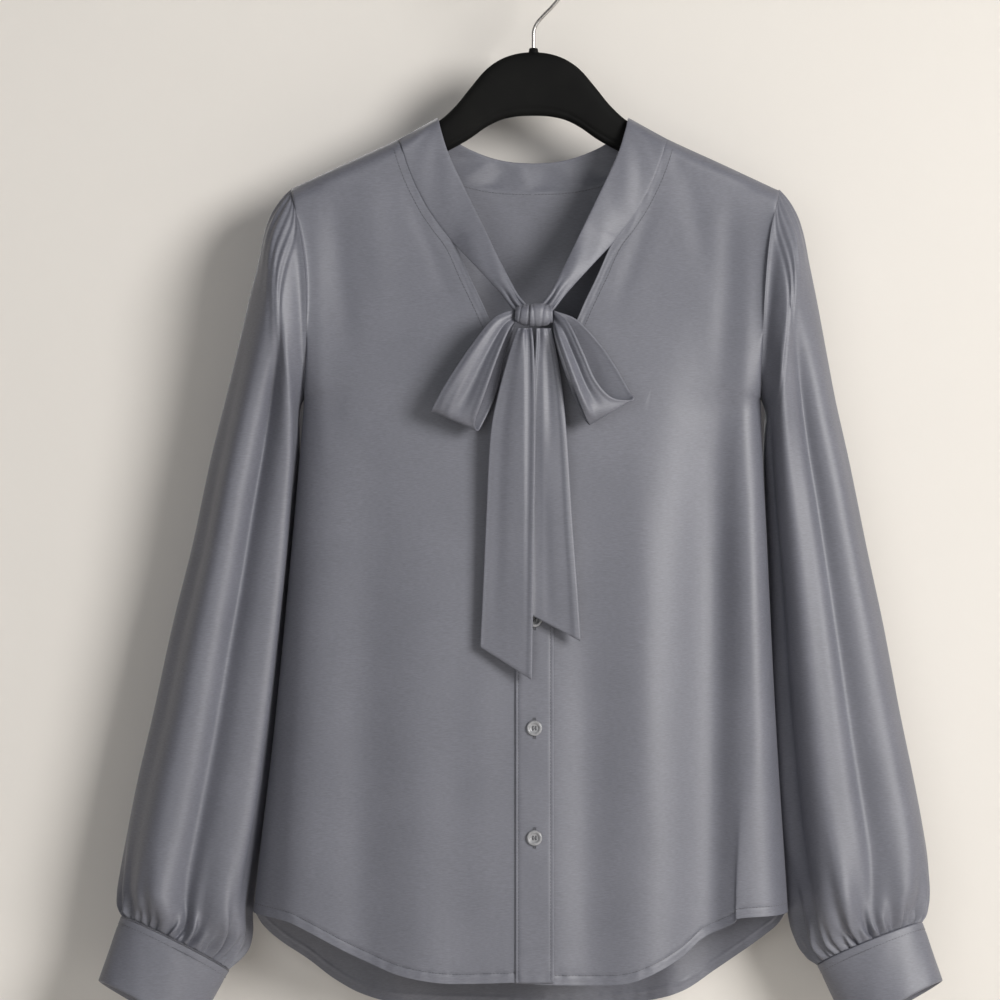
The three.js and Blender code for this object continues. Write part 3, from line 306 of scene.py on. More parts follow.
RIGHT_TAIL = table(
    RIBBON_NAMES + " fold",
    (-12, -53.5, -303.4, -2, -53.5, -303.4, 3.2),
    (-17, -54, -318, -0.6, -55, -318, 3.2),
    (-28, -53, -358, 0.6, -55.5, -352, 2.6),
    (-33.6, -52.5, -391, 0.7, -56, -391, 2),
    (-36.8, -52.5, -455, -0.4, -56.5, -455, 1.4),
    (-39.2, -53, -508.5, -1.2, -57, -516, 1),
    (-41.6, -53.5, -556, -2.1, -57, -581.5, 0.6),
)
LEFT_TAIL = table(
    RIBBON_NAMES + " fold",
    (13, -52.6, -303.4, 2.6, -52.6, -303.4, 3),
    (16.4, -52.5, -320, 2, -52, -319, 3),
    (21.6, -52, -350.5, -0.5, -51.6, -350.5, 2.2),
    (25.6, -52.5, -391, -2, -51.6, -391, 1.4),
    (29.6, -54, -455, -3, -51.8, -455, 1),
    (33.6, -55, -508.5, -3.2, -52.4, -502, 0.7),
    (36.4, -55.5, -550.5, -3.4, -52.8, -529, 0.4),
)

# The button from the middle of its underside over its rim to the floor of its dish: radius and height.
BUTTON_FLOOR = 0.9
BUTTON_PROFILE = (
    (0.3, 0), (4.6, 0), (5.5, 0.25), (6.05, 0.8), (6.2, 1.35), (6.05, 1.9), (5.7, 2.35), (5.1, 2.6),
    (4.4, 2.5), (3.8, 1.95), (3.35, 1.2), (2.6, 0.95), (1.4, BUTTON_FLOOR), (0.3, BUTTON_FLOOR),
)
COLLAR_PROFILE = ((1.6, 3.2), (3, 3), (3.6, 2.2), (3.7, 0.6), (4.2, -0.4), (4.2, -2))
# Each of the button's four holes holds a small near-black dome, painted shade for the dark inside of the
# hole: radius and height.
HOLE_SHADOW_PROFILE = ((0.72, 0.86), (0.72, 0.98), (0.5, 1), (0.05, 0.78))

# Folds laid on the bow: place across the ribbon, how far each stands out to the front, its width, and
# the rows where it starts, is full and ends.
RIGHT_LOOP_FOLDS = (
    (0.16, 1.4, 0.13, 0.2, 1.6, 5),
    (0.62, -3.4, 0.17, 0.1, 1.5, 4.3),
    (0.36, 1.3, 0.1, 2.2, 3.6, 5.4),
    (0.98, 1.3, 0.08, 0.6, 1.6, 4.8),
    (0.5, -1.6, 0.3, 5.5, 7.5, 10),
)
LEFT_LOOP_FOLDS = (
    (0.86, 2.3, 0.12, 0, 1, 4.9),
    (0.46, -3.8, 0.19, 0.3, 1.7, 4.3),
    (0.02, 1.2, 0.08, 0.5, 1.6, 4.8),
    (0.5, -1.6, 0.3, 5.5, 7.5, 10),
)
RIGHT_TAIL_FOLDS = (
    (0.62, -1.6, 0.14, 0, 0.1, 1.5),
    (0.97, 0.9, 0.06, 0, 0.6, 7.5),
    (0.25, -0.9, 0.16, 1, 2.5, 6),
)
LEFT_TAIL_FOLDS = (
    (0.97, 1.1, 0.06, 0, 0.6, 7.5),
    (0.45, -1.5, 0.16, 0.4, 1.4, 3.6),
    (0.08, 0.9, 0.07, 0.3, 1.2, 7.5),
    (0.62, -0.8, 0.14, 3, 4.2, 6.5),
)


def mix(a, b, t):
    return a + (b - a) * t


def smooth(t):
    t = np.clip(t, 0, 1)
    return t * t * (3 - 2 * t)


def bump(distance, width):
    return np.exp(-((distance / width) ** 2))


def rounded(value, power):
    """A power of a number's size, under its sign."""
    return np.sign(value) * np.abs(value) ** power


def round_angles(count):
    return np.arange(count) * 2 * math.pi / count


def unit(vectors):
    return vectors / np.maximum(np.linalg.norm(vectors, axis=-1, keepdims=True), 1e-9)


def reading(columns, key, place, name):
    """One named column of a table at places along its key column, on a smooth curve."""
    keys, values = columns[key], columns[name]
    if keys[0] > keys[-1]:
        keys, values = keys[::-1], values[::-1]
    last = len(keys) - 1
    i = np.clip(np.searchsorted(keys, place, side="right") - 1, 0, last - 1)
    before, after = np.maximum(0, i - 1), np.minimum(last, i + 2)
    start_slope = (values[i + 1] - values[before]) / (keys[i + 1] - keys[before])
    end_slope = (values[after] - values[i]) / (keys[after] - keys[i])
    span = keys[i + 1] - keys[i]
    t = np.clip((place - keys[i]) / span, 0, 1)
    curve = values[i] + (values[i + 1] - values[i]) * t * t * (3 - 2 * t)
    return curve + span * t * (1 - t) * (start_slope * (1 - t) - end_slope * t)


def numbered(columns):
    """The same table with its row numbers as a key column."""
    return {**columns, "row": np.arange(len(next(iter(columns.values()))), dtype=float)}


def by_side(columns, key, place, x):
    """A reading from the column named right where x is below nought, and from left elsewhere."""
    return np.where(x < 0, reading(columns, key, place, "right"), reading(columns, key, place, "left"))


def points_of(columns, key, place, prefix=""):
    return np.stack([reading(columns, key, place, prefix + axis) for axis in "xyz"], axis=-1)


def grid_normals(grid, around=False):
    g = np.concatenate([grid, grid[:, :1]], axis=1) if around else grid
    across = g[1:, 1:] - g[:-1, :-1]
    other = g[1:, :-1] - g[:-1, 1:]
    face = np.cross(across, other)
    normals = np.zeros_like(g)
    for rows in (slice(None, -1), slice(1, None)):
        for columns in (slice(None, -1), slice(1, None)):
            normals[rows, columns] += face
    if around:
        normals[:, 0] += normals[:, -1]
        normals = normals[:, :-1]
    return unit(normals)


def grid_faces(rows, columns, around=False, closed=False):
    """Faces of a grid of points. around joins its last column to its first, and closed its last row."""
    spans = np.arange(rows if closed else rows - 1), np.arange(columns if around else columns - 1)
    i, j = np.meshgrid(*spans, indexing="ij")
    below, beside = (i + 1) % rows, (j + 1) % columns
    corners = [i * columns + j, i * columns + beside, below * columns + beside, below * columns + j]
    return np.stack(corners, axis=-1).reshape(-1, 4)


def rim_faces(loop, offset):
    """Faces between a loop of points and its partners, which stand offset further on in the list."""
    following = np.roll(loop, -1)
    return np.stack([following, loop, loop + offset, following + offset], axis=-1)


def wall(grid, thickness, sign=1, around=False, square=()):
    """Points and faces of a sheet of cloth whose outside is grid. square lists pairs of a mask and an axis
    that the thickness is square to there, so that two pieces meet edge to edge."""
    normals = grid_normals(grid, around) * sign
    for mask, axis in square:
        normals[mask] -= (normals[mask] @ axis)[:, None] * axis
    normals = unit(normals)
    rows, columns = grid.shape[:2]
    count = rows * columns
    outer = grid_faces(rows, columns, around)
    index = np.arange(count).reshape(rows, columns)
    if around:
        rims = [rim_faces(index[0], count), rim_faces(index[-1][::-1], count)]
    else:
        loop = np.concatenate([index[0], index[1:, -1], index[-1, -2::-1], index[-2:0:-1, 0]])
        rims = [rim_faces(loop, count)]
    points = np.concatenate([grid.reshape(-1, 3), (grid - normals * thickness).reshape(-1, 3)])
    return points, np.concatenate([outer, outer[:, ::-1] + count, *rims])


def band(grid, half, closed=False, roll=0.0):
    """Points and faces of doubled cloth round a middle surface. Rows run along it and columns across it, and
    its two long edges are rounded. half is half its thickness, for each row or for all, and roll is the share
    by which the seam allowance inside thickens it beside those edges."""
    normals = np.swapaxes(grid_normals(np.swapaxes(grid, 0, 1), around=closed), 0, 1)
    steps = np.linalg.norm(np.diff(grid, axis=1), axis=2)
    along = np.concatenate([np.zeros((len(grid), 1)), np.cumsum(steps, axis=1)], axis=1)
    inset = np.minimum(along, along[:, -1:] - along)
    half = np.broadcast_to(np.asarray(half, float), (len(grid),))[:, None]
    raised = normals * (half * (1 + roll * bump(inset, 1.3)))[..., None]
    sheets = grid + raised, (grid - raised)[:, ::-1]
    edges = []
    for end, beside in ((-1, -2), (0, 1)):
        outward = unit(grid[:, end] - grid[:, beside]) * np.linalg.norm(raised[:, end], axis=1, keepdims=True)
        up = raised[:, end] if end else -raised[:, end]
        turns = [up * math.cos(turn) + outward * math.sin(turn) for turn in np.radians([40, 90, 140])]
        edges.append(grid[:, [end]] + np.stack(turns, axis=1))
    rings = np.concatenate([sheets[0], edges[0], sheets[1], edges[1]], axis=1)
    rows, sides = rings.shape[:2]
    faces = grid_faces(rows, sides, around=True, closed=closed)
    if closed:
        # The strip that joins the last side to the first faces inward, which shows as a thin dark line.
        strips = faces.reshape(rows, sides, 4)
        strips[:, :-1] = strips[:, :-1, [0, 3, 2, 1]]
        return rings.reshape(-1, 3), faces
    faces = faces.tolist()
    for start, order in ((0, -1), ((rows - 1) * sides, 1)):
        last = grid.shape[1]
        ends = [(k, k + 1, sides - 5 - k, sides - 4 - k) for k in range(-1, last)]
        ends += [(last, last + 1, last + 2), (-3, -2, -1)]
        faces += [[start + corner % sides for corner in face][::order] for face in ends]
    return rings.reshape(-1, 3), faces


def loft(rings):
    """Points and faces of a solid through a row of rings, with its ends closed."""
    rows, sides = rings.shape[:2]
    faces = grid_faces(rows, sides, around=True).tolist()
    last = (rows - 1) * sides
    faces += [[j for j in range(sides)], [last + j for j in range(sides - 1, -1, -1)]]
    return rings.reshape(-1, 3), faces


def signed_volume(points, faces):
    corners = points[np.array([face for face in faces if len(face) == 4])]
    first, second, third, fourth = (corners[:, k] for k in range(4))
    return np.sum(first * np.cross(second, third)) + np.sum(first * np.cross(third, fourth))


def make_piece(name, form, material, replaced=(), sharp=None):
    points, faces = form
    faces = [list(face) for face in faces]
    if signed_volume(points, faces) < 0:
        faces = [face[::-1] for face in faces]
    mesh = bpy.data.meshes.new(name)
    mesh.from_pydata((points * MM).tolist(), [], faces)
    mesh.materials.append(material)
    mesh.shade_smooth()
    if sharp:
        mesh.set_sharp_from_angle(angle=math.radians(sharp))
    piece = bpy.data.objects.new(name, mesh)
    bpy.context.scene.collection.objects.link(piece)
    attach(piece, "root")
    if replaced:
        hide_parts(*replaced)
    return piece


def cloth_piece(node, form, material, sharp=None):
    return make_piece(node + "_cloth", form, material, [node], sharp)


# The body

def half_width(z, x):
    return by_side(BODY_SECTIONS, "z", z, x)


def shoulder_height(x):
    return reading(SHOULDER_LINE, "x", np.abs(x), "z")


def armhole_depth(z):
    middle, half = (TIP + UNDERARM) / 2, (TIP - UNDERARM) / 2
    return ARMHOLE_DEPTH * np.sqrt(np.maximum(0, 1 - ((z - middle) / half) ** 2))


def fold_rise(folds, x, z):
    total = np.zeros(np.broadcast(x, z).shape)
    for upper_x, hem_x, rise, before, after, starts, full in zip(*folds.values()):
        strength = smooth((starts - z) / (starts - full))
        middle = mix(upper_x, hem_x, np.clip((UNDERARM - z) / (UNDERARM - FRONT_HEM), 0, 1))
        total += rise * strength * bump(x - middle, np.where(x < middle, before, after))
    return total


def crease_rise(creases, x, z):
    total = np.zeros(np.broadcast(x, z).shape)
    for x1, z1, x2, z2, rise, width in zip(*creases.values()):
        dx, dz = x2 - x1, z2 - z1
        length = math.hypot(dx, dz)
        along = ((x - x1) * dx + (z - z1) * dz) / length**2
        off = ((x - x1) * dz - (z - z1) * dx) / length
        fade = smooth((along + 0.12) / 0.4) * smooth((1.12 - along) / 0.5)
        total += rise * fade * bump(off, width)
    return total


def ripple(x, z):
    """Faint unevenness that pressed satin keeps."""
    slow = np.sin(x / 23 + 0.8 * np.sin(z / 57) + 1.3) * np.sin(z / 71 + 0.5 * np.sin(x / 31))
    quick = np.sin(x / 9.5 + z / 60 + 1.1 * np.sin(z / 38)) * np.sin(z / 44 + 0.4)
    return 0.34 * slow + 0.1 * quick


def body_depth(face, x, z):
    """How far the outside of the front or back stands from the plane of the seams."""
    half = half_width(z, x)
    below = np.maximum(0, shoulder_height(x) - z)
    wrap = WRAP_DEPTH * np.sqrt(1 - (1 - np.clip(below / WRAP_DROP, 0, 1)) ** 2)
    full = reading(BODY_SECTIONS, "z", z, face)
    middle = wrap + smooth(below / EASE_DROP) * (full - WRAP_DEPTH)
    power = reading(BODY_SECTIONS, "z", z, "power")
    across = np.maximum(0, 1 - np.clip(np.abs(x) / half, 0, 1) ** power) ** (1 / power)
    edge = armhole_depth(z)
    folds = fold_rise(FRONT_FOLDS if face == "front" else BACK_FOLDS, x, z)
    creases = crease_rise(FRONT_CREASES if face == "front" else BACK_CREASES, x, z)
    settled = smooth(below / 40)
    above_hem = z - hem_height(face, np.abs(x) / half, x)
    stitched = bump(above_hem - HEM_WIDTH, 1.5) * (0.35 + 0.3 * np.sin(x / 1.7 + 1.9 * np.sin(x / 13)))
    puckers = 0.3 * bump(above_hem - 0.6 * HEM_WIDTH, 5) * np.sin(x / 2.3 + 2.3 * np.sin(x / 17)) - stitched
    return edge + (middle - edge) * across + (folds + puckers + (creases + ripple(x, z)) * settled) * across


def lapping(x, z):
    """How far the left front's deepest fold leans over the trough beside it, near the hem."""
    return 10 * smooth((-620 - z) / 140) * bump(x - 172, np.where(x < 172, 9, 12))


def body_point(face, x, z, lift=0.0):
    depth = body_depth(face, x, z) + SEAM / 2 + lift
    if face == "front":
        x = x - lapping(x, z)
    return np.stack(np.broadcast_arrays(x, -depth if face == "front" else depth, z), axis=-1)


def top_edge(face, x):
    reach = np.abs(x)
    if face == "back":
        neck = BACK_NECK["middle"] + BACK_NECK["rise"] * (reach / NECK_X) ** BACK_NECK["power"]
    else:
        neck = np.where(reach <= V_EDGE["x"][0], FRONT_EDGE, reading(V_EDGE, "x", reach, "z"))
    return np.where(reach >= NECK_X, shoulder_height(reach), neck)


def hem_height(face, across, x):
    return by_side(FRONT_HEM_LINE if face == "front" else BACK_HEM_LINE, "across", across, x)


def hem_rows(length):
    """Shares of a length that are close together at its hem."""
    return 1 - np.linspace(HEM_REACH, 0, HEM_ROWS) / length


def side_rows(lower_rows=46):
    half = (TIP - UNDERARM) / 2
    armhole = half * (1 - np.sin(np.radians(np.linspace(90, -90, ARMHOLE_ROWS))))
    length = TIP - SIDE_HEM
    hem = hem_rows(length)
    lower = np.linspace(armhole[-1] / length, hem[0], lower_rows + 1)[1:-1]
    return np.concatenate([armhole / length, lower, hem])


def middle_rows(total, length, top_rows=16, top_reach=20):
    top = np.linspace(0, top_reach, top_rows) / length
    hem = hem_rows(length)
    between = np.linspace(top[-1], hem[0], total - top_rows - HEM_ROWS + 2)[1:-1]
    return np.concatenate([top, between, hem])


def pressed_edge(distance, along):
    """How far a turned and stitched edge stands out at a distance from its very edge."""
    within = smooth((HEM_WIDTH + 0.9 - distance) / 1.4)
    groove = -0.26 * bump(distance - HEM_WIDTH, 0.8)
    pucker = 0.2 * np.sin(along / 2.6 + 1.7 * np.sin(along / 13)) * bump(distance - HEM_WIDTH * 0.72, 3.4)
    roll = 0.16 * bump(distance - 0.8, 0.8)
    return 0.12 * within + groove + pucker * (0.55 + 0.45 * np.sin(along / 17)) + roll


def body_grid(face, inner_x, direction):
    """Points of half a body panel from inner_x to the side, in rows from the upper edge to the hem."""
    neck_half = float(half_width(shoulder_height(NECK_X), np.array(direction)))
    neck_share = (NECK_X * direction - inner_x) / (neck_half * direction - inner_x)
    foot_share = max(0.004, (V_EDGE["x"][0] * direction - inner_x) / (neck_half * direction - inner_x))
    if face == "front":
        shares = [np.linspace(0, foot_share, 6)[:-1], np.linspace(foot_share, neck_share, 40)]
    else:
        shares = [np.linspace(0, neck_share, 40)]
    shoulder = mix(neck_share, 1, 1 - (1 - np.linspace(0, 1, 38)) ** 1.25)
    share = np.concatenate([*shares, shoulder[1:]])[None, :]
    side = side_rows()[:, None]
    middle = middle_rows(len(side), 560)[:, None]

    def column_x(z):
        edge = half_width(z, np.full(np.shape(z), direction)) * direction
        return mix(inner_x, edge, share)

    top = np.full(share.shape, float(TIP))
    for _ in range(16):
        top = top_edge(face, column_x(top))
    down = mix(middle, side, smooth(share / neck_share))
    z = top + 0 * down
    for _ in range(8):
        x = column_x(z)
        hem = hem_height(face, np.abs(x) / half_width(z, x), x)
        z = mix(top, hem, down)
    x = column_x(z)
    edge = pressed_edge(z - hem, x)
    if face == "front":
        along_v = smooth((np.abs(x) - 15) / 6) * (share < neck_share)
        edge = edge + pressed_edge((top - z) * V_STEEPNESS, top) * along_v
    fade = smooth((1 - share) / 0.02)
    return body_point(face, x, z, edge * fade)


def square_edges(grid, sides):
    """Where a panel's cloth is square to the sleeve, and where to the other panel."""
    at_armhole = np.zeros(grid.shape[:2], bool)
    at_seam = np.zeros(grid.shape[:2], bool)
    at_armhole[: ARMHOLE_ROWS - 1, sides] = True
    at_seam[ARMHOLE_ROWS - 1 :, sides] = True
    at_seam[0, np.abs(grid[0, :, 0]) >= NECK_X - 0.1] = True
    return [(at_armhole, ACROSS), (at_seam, FRONT_TO_BACK)]


def front_panel(name, inner_x, direction, material):
    grid = body_grid("front", inner_x, direction)
    form = wall(grid, CLOTH, -direction, square=square_edges(grid, [-1]))
    return cloth_piece(name, form, material, sharp=50)


def back_panel(material):
    right, left = body_grid("back", 0, -1), body_grid("back", 0, 1)
    grid = np.concatenate([right[:, :0:-1], left], axis=1)
    form = wall(grid, CLOTH, square=square_edges(grid, [0, -1]))
    return make_piece("back_panel", form, material, ["back"], sharp=50)


def placket_lift(x, z):
    """The band's own small waves between its two stitch lines."""
    inset = np.minimum(x - PLACKET_LEFT, PLACKET_RIGHT - x)
    groove = -0.3 * bump(inset - PLACKET_STITCH, 0.8)
    drag = 0
    for height in BUTTON_HEIGHTS:
        for slope, rise in ((0.9, 0.22), (-0.8, -0.2), (0.2, -0.16)):
            off = (z - height) - slope * (x - BUTTON_X)
            drag += rise * bump(off, 2.4) * bump(x - BUTTON_X, 11) * smooth(np.abs(x - BUTTON_X) / 5)
    wave = 0.16 * np.sin(z / 13 + 1.2 * np.sin(z / 47) + x / 9) * smooth(inset / 5)
    pressed = -0.33 * bump(x - PLACKET_LEFT, 3.2)
    return groove + drag + wave + pressed


def placket(material):
    """The button band down the front edge."""
    heights = np.linspace(FRONT_EDGE, FRONT_HEM + 1, 260)
    inset = np.array([0.7, 1.3, 2, 2.6, 3.2, 4, 5.5, 8, 11, 14.5])
    columns = np.concatenate([PLACKET_LEFT + inset, (PLACKET_RIGHT - inset)[::-1]])
    x, z = np.meshgrid(columns, heights)
    grid = body_point("front", x, z, PLACKET_GAP + PLACKET_HALF + placket_lift(x, z))
    half = np.full(len(heights), PLACKET_HALF)
    half[[0, -1]] *= 0.6
    return cloth_piece("button_band", band(grid, half), material)


# The sleeves and cuffs

def turn_between(degrees, at):
    return (degrees - at + 180) % 360 - 180


def sleeve_fold_rise(folds, degrees, place):
    total = np.zeros(np.broadcast(degrees, place).shape)
    for at, rise, before, after, starts, full, ends in zip(*folds.values()):
        strength = smooth((place - starts) / (full - starts)) * smooth((ends - place) / 3)
        turn = turn_between(degrees, at)
        total += rise * strength * bump(turn, np.where(turn < 0, before, after))
    return total


def tuck(degrees, at, depth, width, beside, share):
    """A sunk line at a place round the sleeve, and a ridge of a share of its depth beside it."""
    ridge = share * depth * bump(turn_between(degrees, at + beside), width)
    return ridge - depth * bump(turn_between(degrees, at), width)


def cuff_tucks(degrees, above, chance):
    """Tucks that run up from the cuff, every third of them long."""
    total = 0
    for k in range(CUFF_GATHERS):
        long = k % 3 == 0
        at = (k + chance.uniform(-0.26, 0.26)) * 360 / CUFF_GATHERS
        length = chance.uniform(3.6, 5.8) if long else chance.uniform(1.8, 3.2)
        depth = chance.uniform(5, 7) if long else chance.uniform(3, 4.6)
        lean = chance.uniform(-2.4, 2.4)
        strength = smooth(1 - above / length) * mix(1, 0.5, smooth((0.5 - above) / 0.5))
        width = 1.9 + (1.8 if long else 1.3) * np.minimum(above, 2.5)
        total += tuck(degrees, at + lean * above, depth * strength, width, 6, 0.42)
    return total


def cap_tucks(degrees, place, chance):
    """Tucks that fan out down the sleeve from its cap."""
    total = 0
    for k in range(CAP_GATHERS):
        share = (k + chance.uniform(0.25, 0.75)) / CAP_GATHERS
        at = mix(46, 134, share) + mix(-25, 20, share) * place
        length = chance.uniform(3, 5.6)
        depth = chance.uniform(2.4, 4)
        strength = smooth(1 - place / length) * smooth(place / 0.3 + 0.35)
        total += tuck(degrees, at, depth * strength, 2.8 + 1.8 * place, 4.5, 0.4)
    return total


def gather_rise(degrees, place, seed):
    """The gathers at the cuff and the cap, the pull of the armhole's seam and the puffs above the cuff."""
    chance = np.random.default_rng(seed)
    above = np.clip(LAST_SECTION - place, 0, None)
    total = cuff_tucks(degrees, above, chance) + cap_tucks(degrees, place, chance)
    total -= 4 * bump(place - 0.5, 0.38) * smooth(np.cos(np.radians(2 * degrees)) * 1.4 + 0.4)
    puffs = np.sin(np.radians(degrees * 9) + seed) + 0.6 * np.sin(np.radians(degrees * 14) + 2.1 * seed)
    return total + 1.5 * puffs * smooth((place - 11.2) / 2.4) * smooth(above / 1.4)


def armhole_point(direction, degrees):
    """Where the sleeve is sewn to the body, at an angle round the armhole."""
    z = (TIP + UNDERARM) / 2 + (TIP - UNDERARM) / 2 * np.sin(np.radians(degrees))
    x = direction * (half_width(z, np.full(np.shape(z), direction)) + SEAM)
    return np.stack([x, -ARMHOLE_DEPTH * np.cos(np.radians(degrees)), z], axis=-1)


def sleeve_grid(sections, folds, seed, columns=360):
    """The outside of a sleeve in rings, from the armhole's seam to the cuff."""
    sections = numbered(sections)
    cap, arm, wrist = np.linspace(0, 1.7, 20), np.linspace(1.8, 11.6, 44), np.linspace(11.8, LAST_SECTION, 46)
    place = np.concatenate([cap, arm, wrist])[:, None]
    degrees = np.arange(columns)[None, :] * 360 / columns
    at = {name: reading(sections, "row", place, name) for name in sections}
    up, front = np.sin(np.radians(degrees)), np.cos(np.radians(degrees))
    x = mix(at["inner_x"], at["outer_x"], (up + 1) / 2)
    z = mix(at["inner_z"], at["outer_z"], (up + 1) / 2) + at["lift"] * front
    point = np.stack([x, at["middle"] - at["depth"] * front, z], axis=-1)
    middle = ((at["inner_x"] + at["outer_x"]) / 2, at["middle"], (at["inner_z"] + at["outer_z"]) / 2)
    waves = np.sin(np.radians(degrees * 5) + place * 0.8) * smooth((place - 1) / 3)
    rise = gather_rise(degrees, place, seed) + sleeve_fold_rise(folds, degrees, place)
    rise += 0.5 * waves * smooth((LAST_SECTION - place) / 3)
    point += unit(point - np.stack(middle, axis=-1)) * rise[..., None]
    direction = np.sign(sections["outer_x"][0])
    share = np.where(place == 0, 1, (1 - smooth(place / 1.6)) * 0.75)[..., None]
    return mix(point, armhole_point(direction, degrees), share)


def cuff_axis(sections):
    last = {name: values[-1] for name, values in sections.items()}
    across = np.array([last["outer_x"] - last["inner_x"], 0, last["outer_z"] - last["inner_z"]])
    forward = np.array([0, -last["depth"], last["lift"]])
    return unit(np.cross(across, forward))


def sleeve(name, sections, folds, seed, material):
    grid = sleeve_grid(sections, folds, seed)
    first, last = np.zeros(grid.shape[:2], bool), np.zeros(grid.shape[:2], bool)
    first[0] = last[-1] = True
    square = [(first, ACROSS), (last, cuff_axis(sections))]
    form = wall(grid, SLEEVE_CLOTH, -np.sign(sections["outer_x"][0]), around=True, square=square)
    return cloth_piece(name, form, material, sharp=60)


def cuff_point(sections, foot, degrees, down, out=CUFF_HALF):
    at = {name: mix(sections[name][-1], foot[name], down) for name in foot}
    up, front = np.sin(np.radians(degrees)), np.cos(np.radians(degrees))
    zero = 0 * (up + down)
    outer = np.stack([at["outer_x"] + zero, zero, at["outer_z"] + zero], -1)
    inner = np.stack([at["inner_x"] + zero, zero, at["inner_z"] + zero], -1)
    centre = (inner + outer) / 2
    point = centre + (outer - centre) * up[..., None]
    point[..., 1] -= at["depth"] * front
    point[..., 2] += at["lift"] * front
    return point + unit(point - centre) * out


def cuff(name, sections, foot, material):
    length = math.hypot(*(foot[name] - sections[name][-1] for name in ("outer_x", "outer_z")))
    shares = np.array([0, 0.02, 0.05, 0.085, 0.12, 0.18, 0.3, 0.45, 0.6, 0.75, 0.85, 0.9, 0.94, 0.97, 1])
    down = mix((SEAM + CUFF_HALF) / length, 1 - CUFF_HALF / length, shares)[None, :]
    degrees = np.arange(144)[:, None] * 360 / 144
    angle = np.radians(degrees)
    soft = 0.28 * np.sin(angle * 4 + 3 * down) + 0.16 * np.sin(angle * 9 + 7 * down)
    groove = -0.25 * bump(shares[None, :] - 0.12, 0.02)
    grid = cuff_point(sections, foot, degrees, down, 0)
    outward = unit(grid - grid.mean(axis=0, keepdims=True))
    grid = grid + outward * (soft * smooth(shares * 6) + groove)[..., None]
    return cloth_piece(name, band(grid, CUFF_HALF, closed=True), material)


# The neckband and the bow

def neckline_point(face, x, direction):
    z = top_edge(face, x)
    here = body_point(face, x * direction, z)
    beyond = body_point(face, (x + 0.4) * direction, top_edge(face, x + 0.4))
    along = unit(beyond - here)
    away = unit(np.cross(along, FRONT_TO_BACK)) * direction
    return here - away * (SEAM + 0.5)


def free_edge(columns, at, direction):
    """Points of a neckband's free edge, each with how far the band's middle stands out there."""
    free = points_of(columns, "at", at) * [direction, 1, 1]
    return np.concatenate([free, reading(columns, "at", at, "bulge")[:, None]], axis=1)


def neckband_grid(seam, free, bulges, wrinkle):
    grid = mix(seam[:, None, :], free[:, None, :3], NECKBAND_ACROSS[..., None])
    arch = 4 * NECKBAND_ACROSS * (1 - NECKBAND_ACROSS)
    grid[..., 1] += bulges * free[:, 3:] * arch + wrinkle
    return grid


def neckband_front(name, direction, material):
    """The neckband from a shoulder down the V and, free of it, on to the knot."""
    at = np.linspace(0, 9, 150)
    sewn_at = np.linspace(0, 5, 26)
    seams = neckline_point("front", reading(FRONT_SEWN, "at", sewn_at, "x"), direction)
    hanging = np.stack([FRONT_HANGING[axis] for axis in "xyz"], axis=-1) * [direction, 1, 1]
    keys = np.concatenate([sewn_at, FRONT_HANGING["at"]])
    edge = {"at": keys, **dict(zip("xyz", np.concatenate([seams, hanging]).T))}
    across, row = NECKBAND_ACROSS, at[:, None]
    inner = smooth(across * 6) * smooth((1 - across) * 6)
    pleats = -1.5 * smooth((row - 6.2) / 2.6) * np.cos(across * math.pi * 4 + 0.5 * direction) * inner
    drag = 0.5 * np.sin(row * 3.1 + across * 5 + direction) * np.sin(row * 1.3 + 0.7)
    wrinkle = pleats + drag * np.sin(across * math.pi) * smooth(row / 1.5) * smooth((9 - row) / 2)
    grid = neckband_grid(points_of(edge, "at", at), free_edge(FRONT_FREE, at, direction), -1, wrinkle)
    return cloth_piece(name, band(grid, BAND_HALF), material)


def neckband_back(material):
    at = np.linspace(0, 7, 70)
    sewn = reading(BACK_SEWN, "at", at, "x")
    left_seam, right_seam = (neckline_point("back", sewn, direction) for direction in (1, -1))
    left_free, right_free = (free_edge(BACK_FREE, at, direction) for direction in (1, -1))
    seam = np.concatenate([left_seam, right_seam[-2::-1]])
    free = np.concatenate([left_free, right_free[-2::-1]])
    x, across = free[:, :1], NECKBAND_ACROSS
    tucks = 0
    for place, lean, rise, width in BACK_NECK_TUCKS:
        tucks += rise * bump(x - place - lean * (across - 0.5), width)
    settled = smooth(across * 4) * smooth((1 - across) * 3.2)
    grid = neckband_grid(seam, free, 1, tucks * settled * smooth((76 - np.abs(x)) / 22))
    return cloth_piece("neckband_back", band(grid, BAND_HALF), material)


def ribbon_grid(columns, rows, across_count):
    columns = numbered(columns)
    place = np.linspace(0, columns["row"][-1], rows)
    across = np.linspace(0, 1, across_count)
    outer = points_of(columns, "row", place, "outer_")
    inner = points_of(columns, "row", place, "inner_")
    grid = mix(outer[:, None, :], inner[:, None, :], across[None, :, None])
    return grid, place[:, None], across[None, :], columns


def ribbon_folds(folds, across, place):
    """The height of folds laid by hand along a ribbon."""
    total = np.zeros(np.broadcast(across, place).shape)
    for at, rise, width, starts, full, ends in folds:
        strength = smooth((place - starts) / (full - starts))
        total += rise * strength * smooth((ends - place) / 1.4) * bump(across - at, width)
    return total


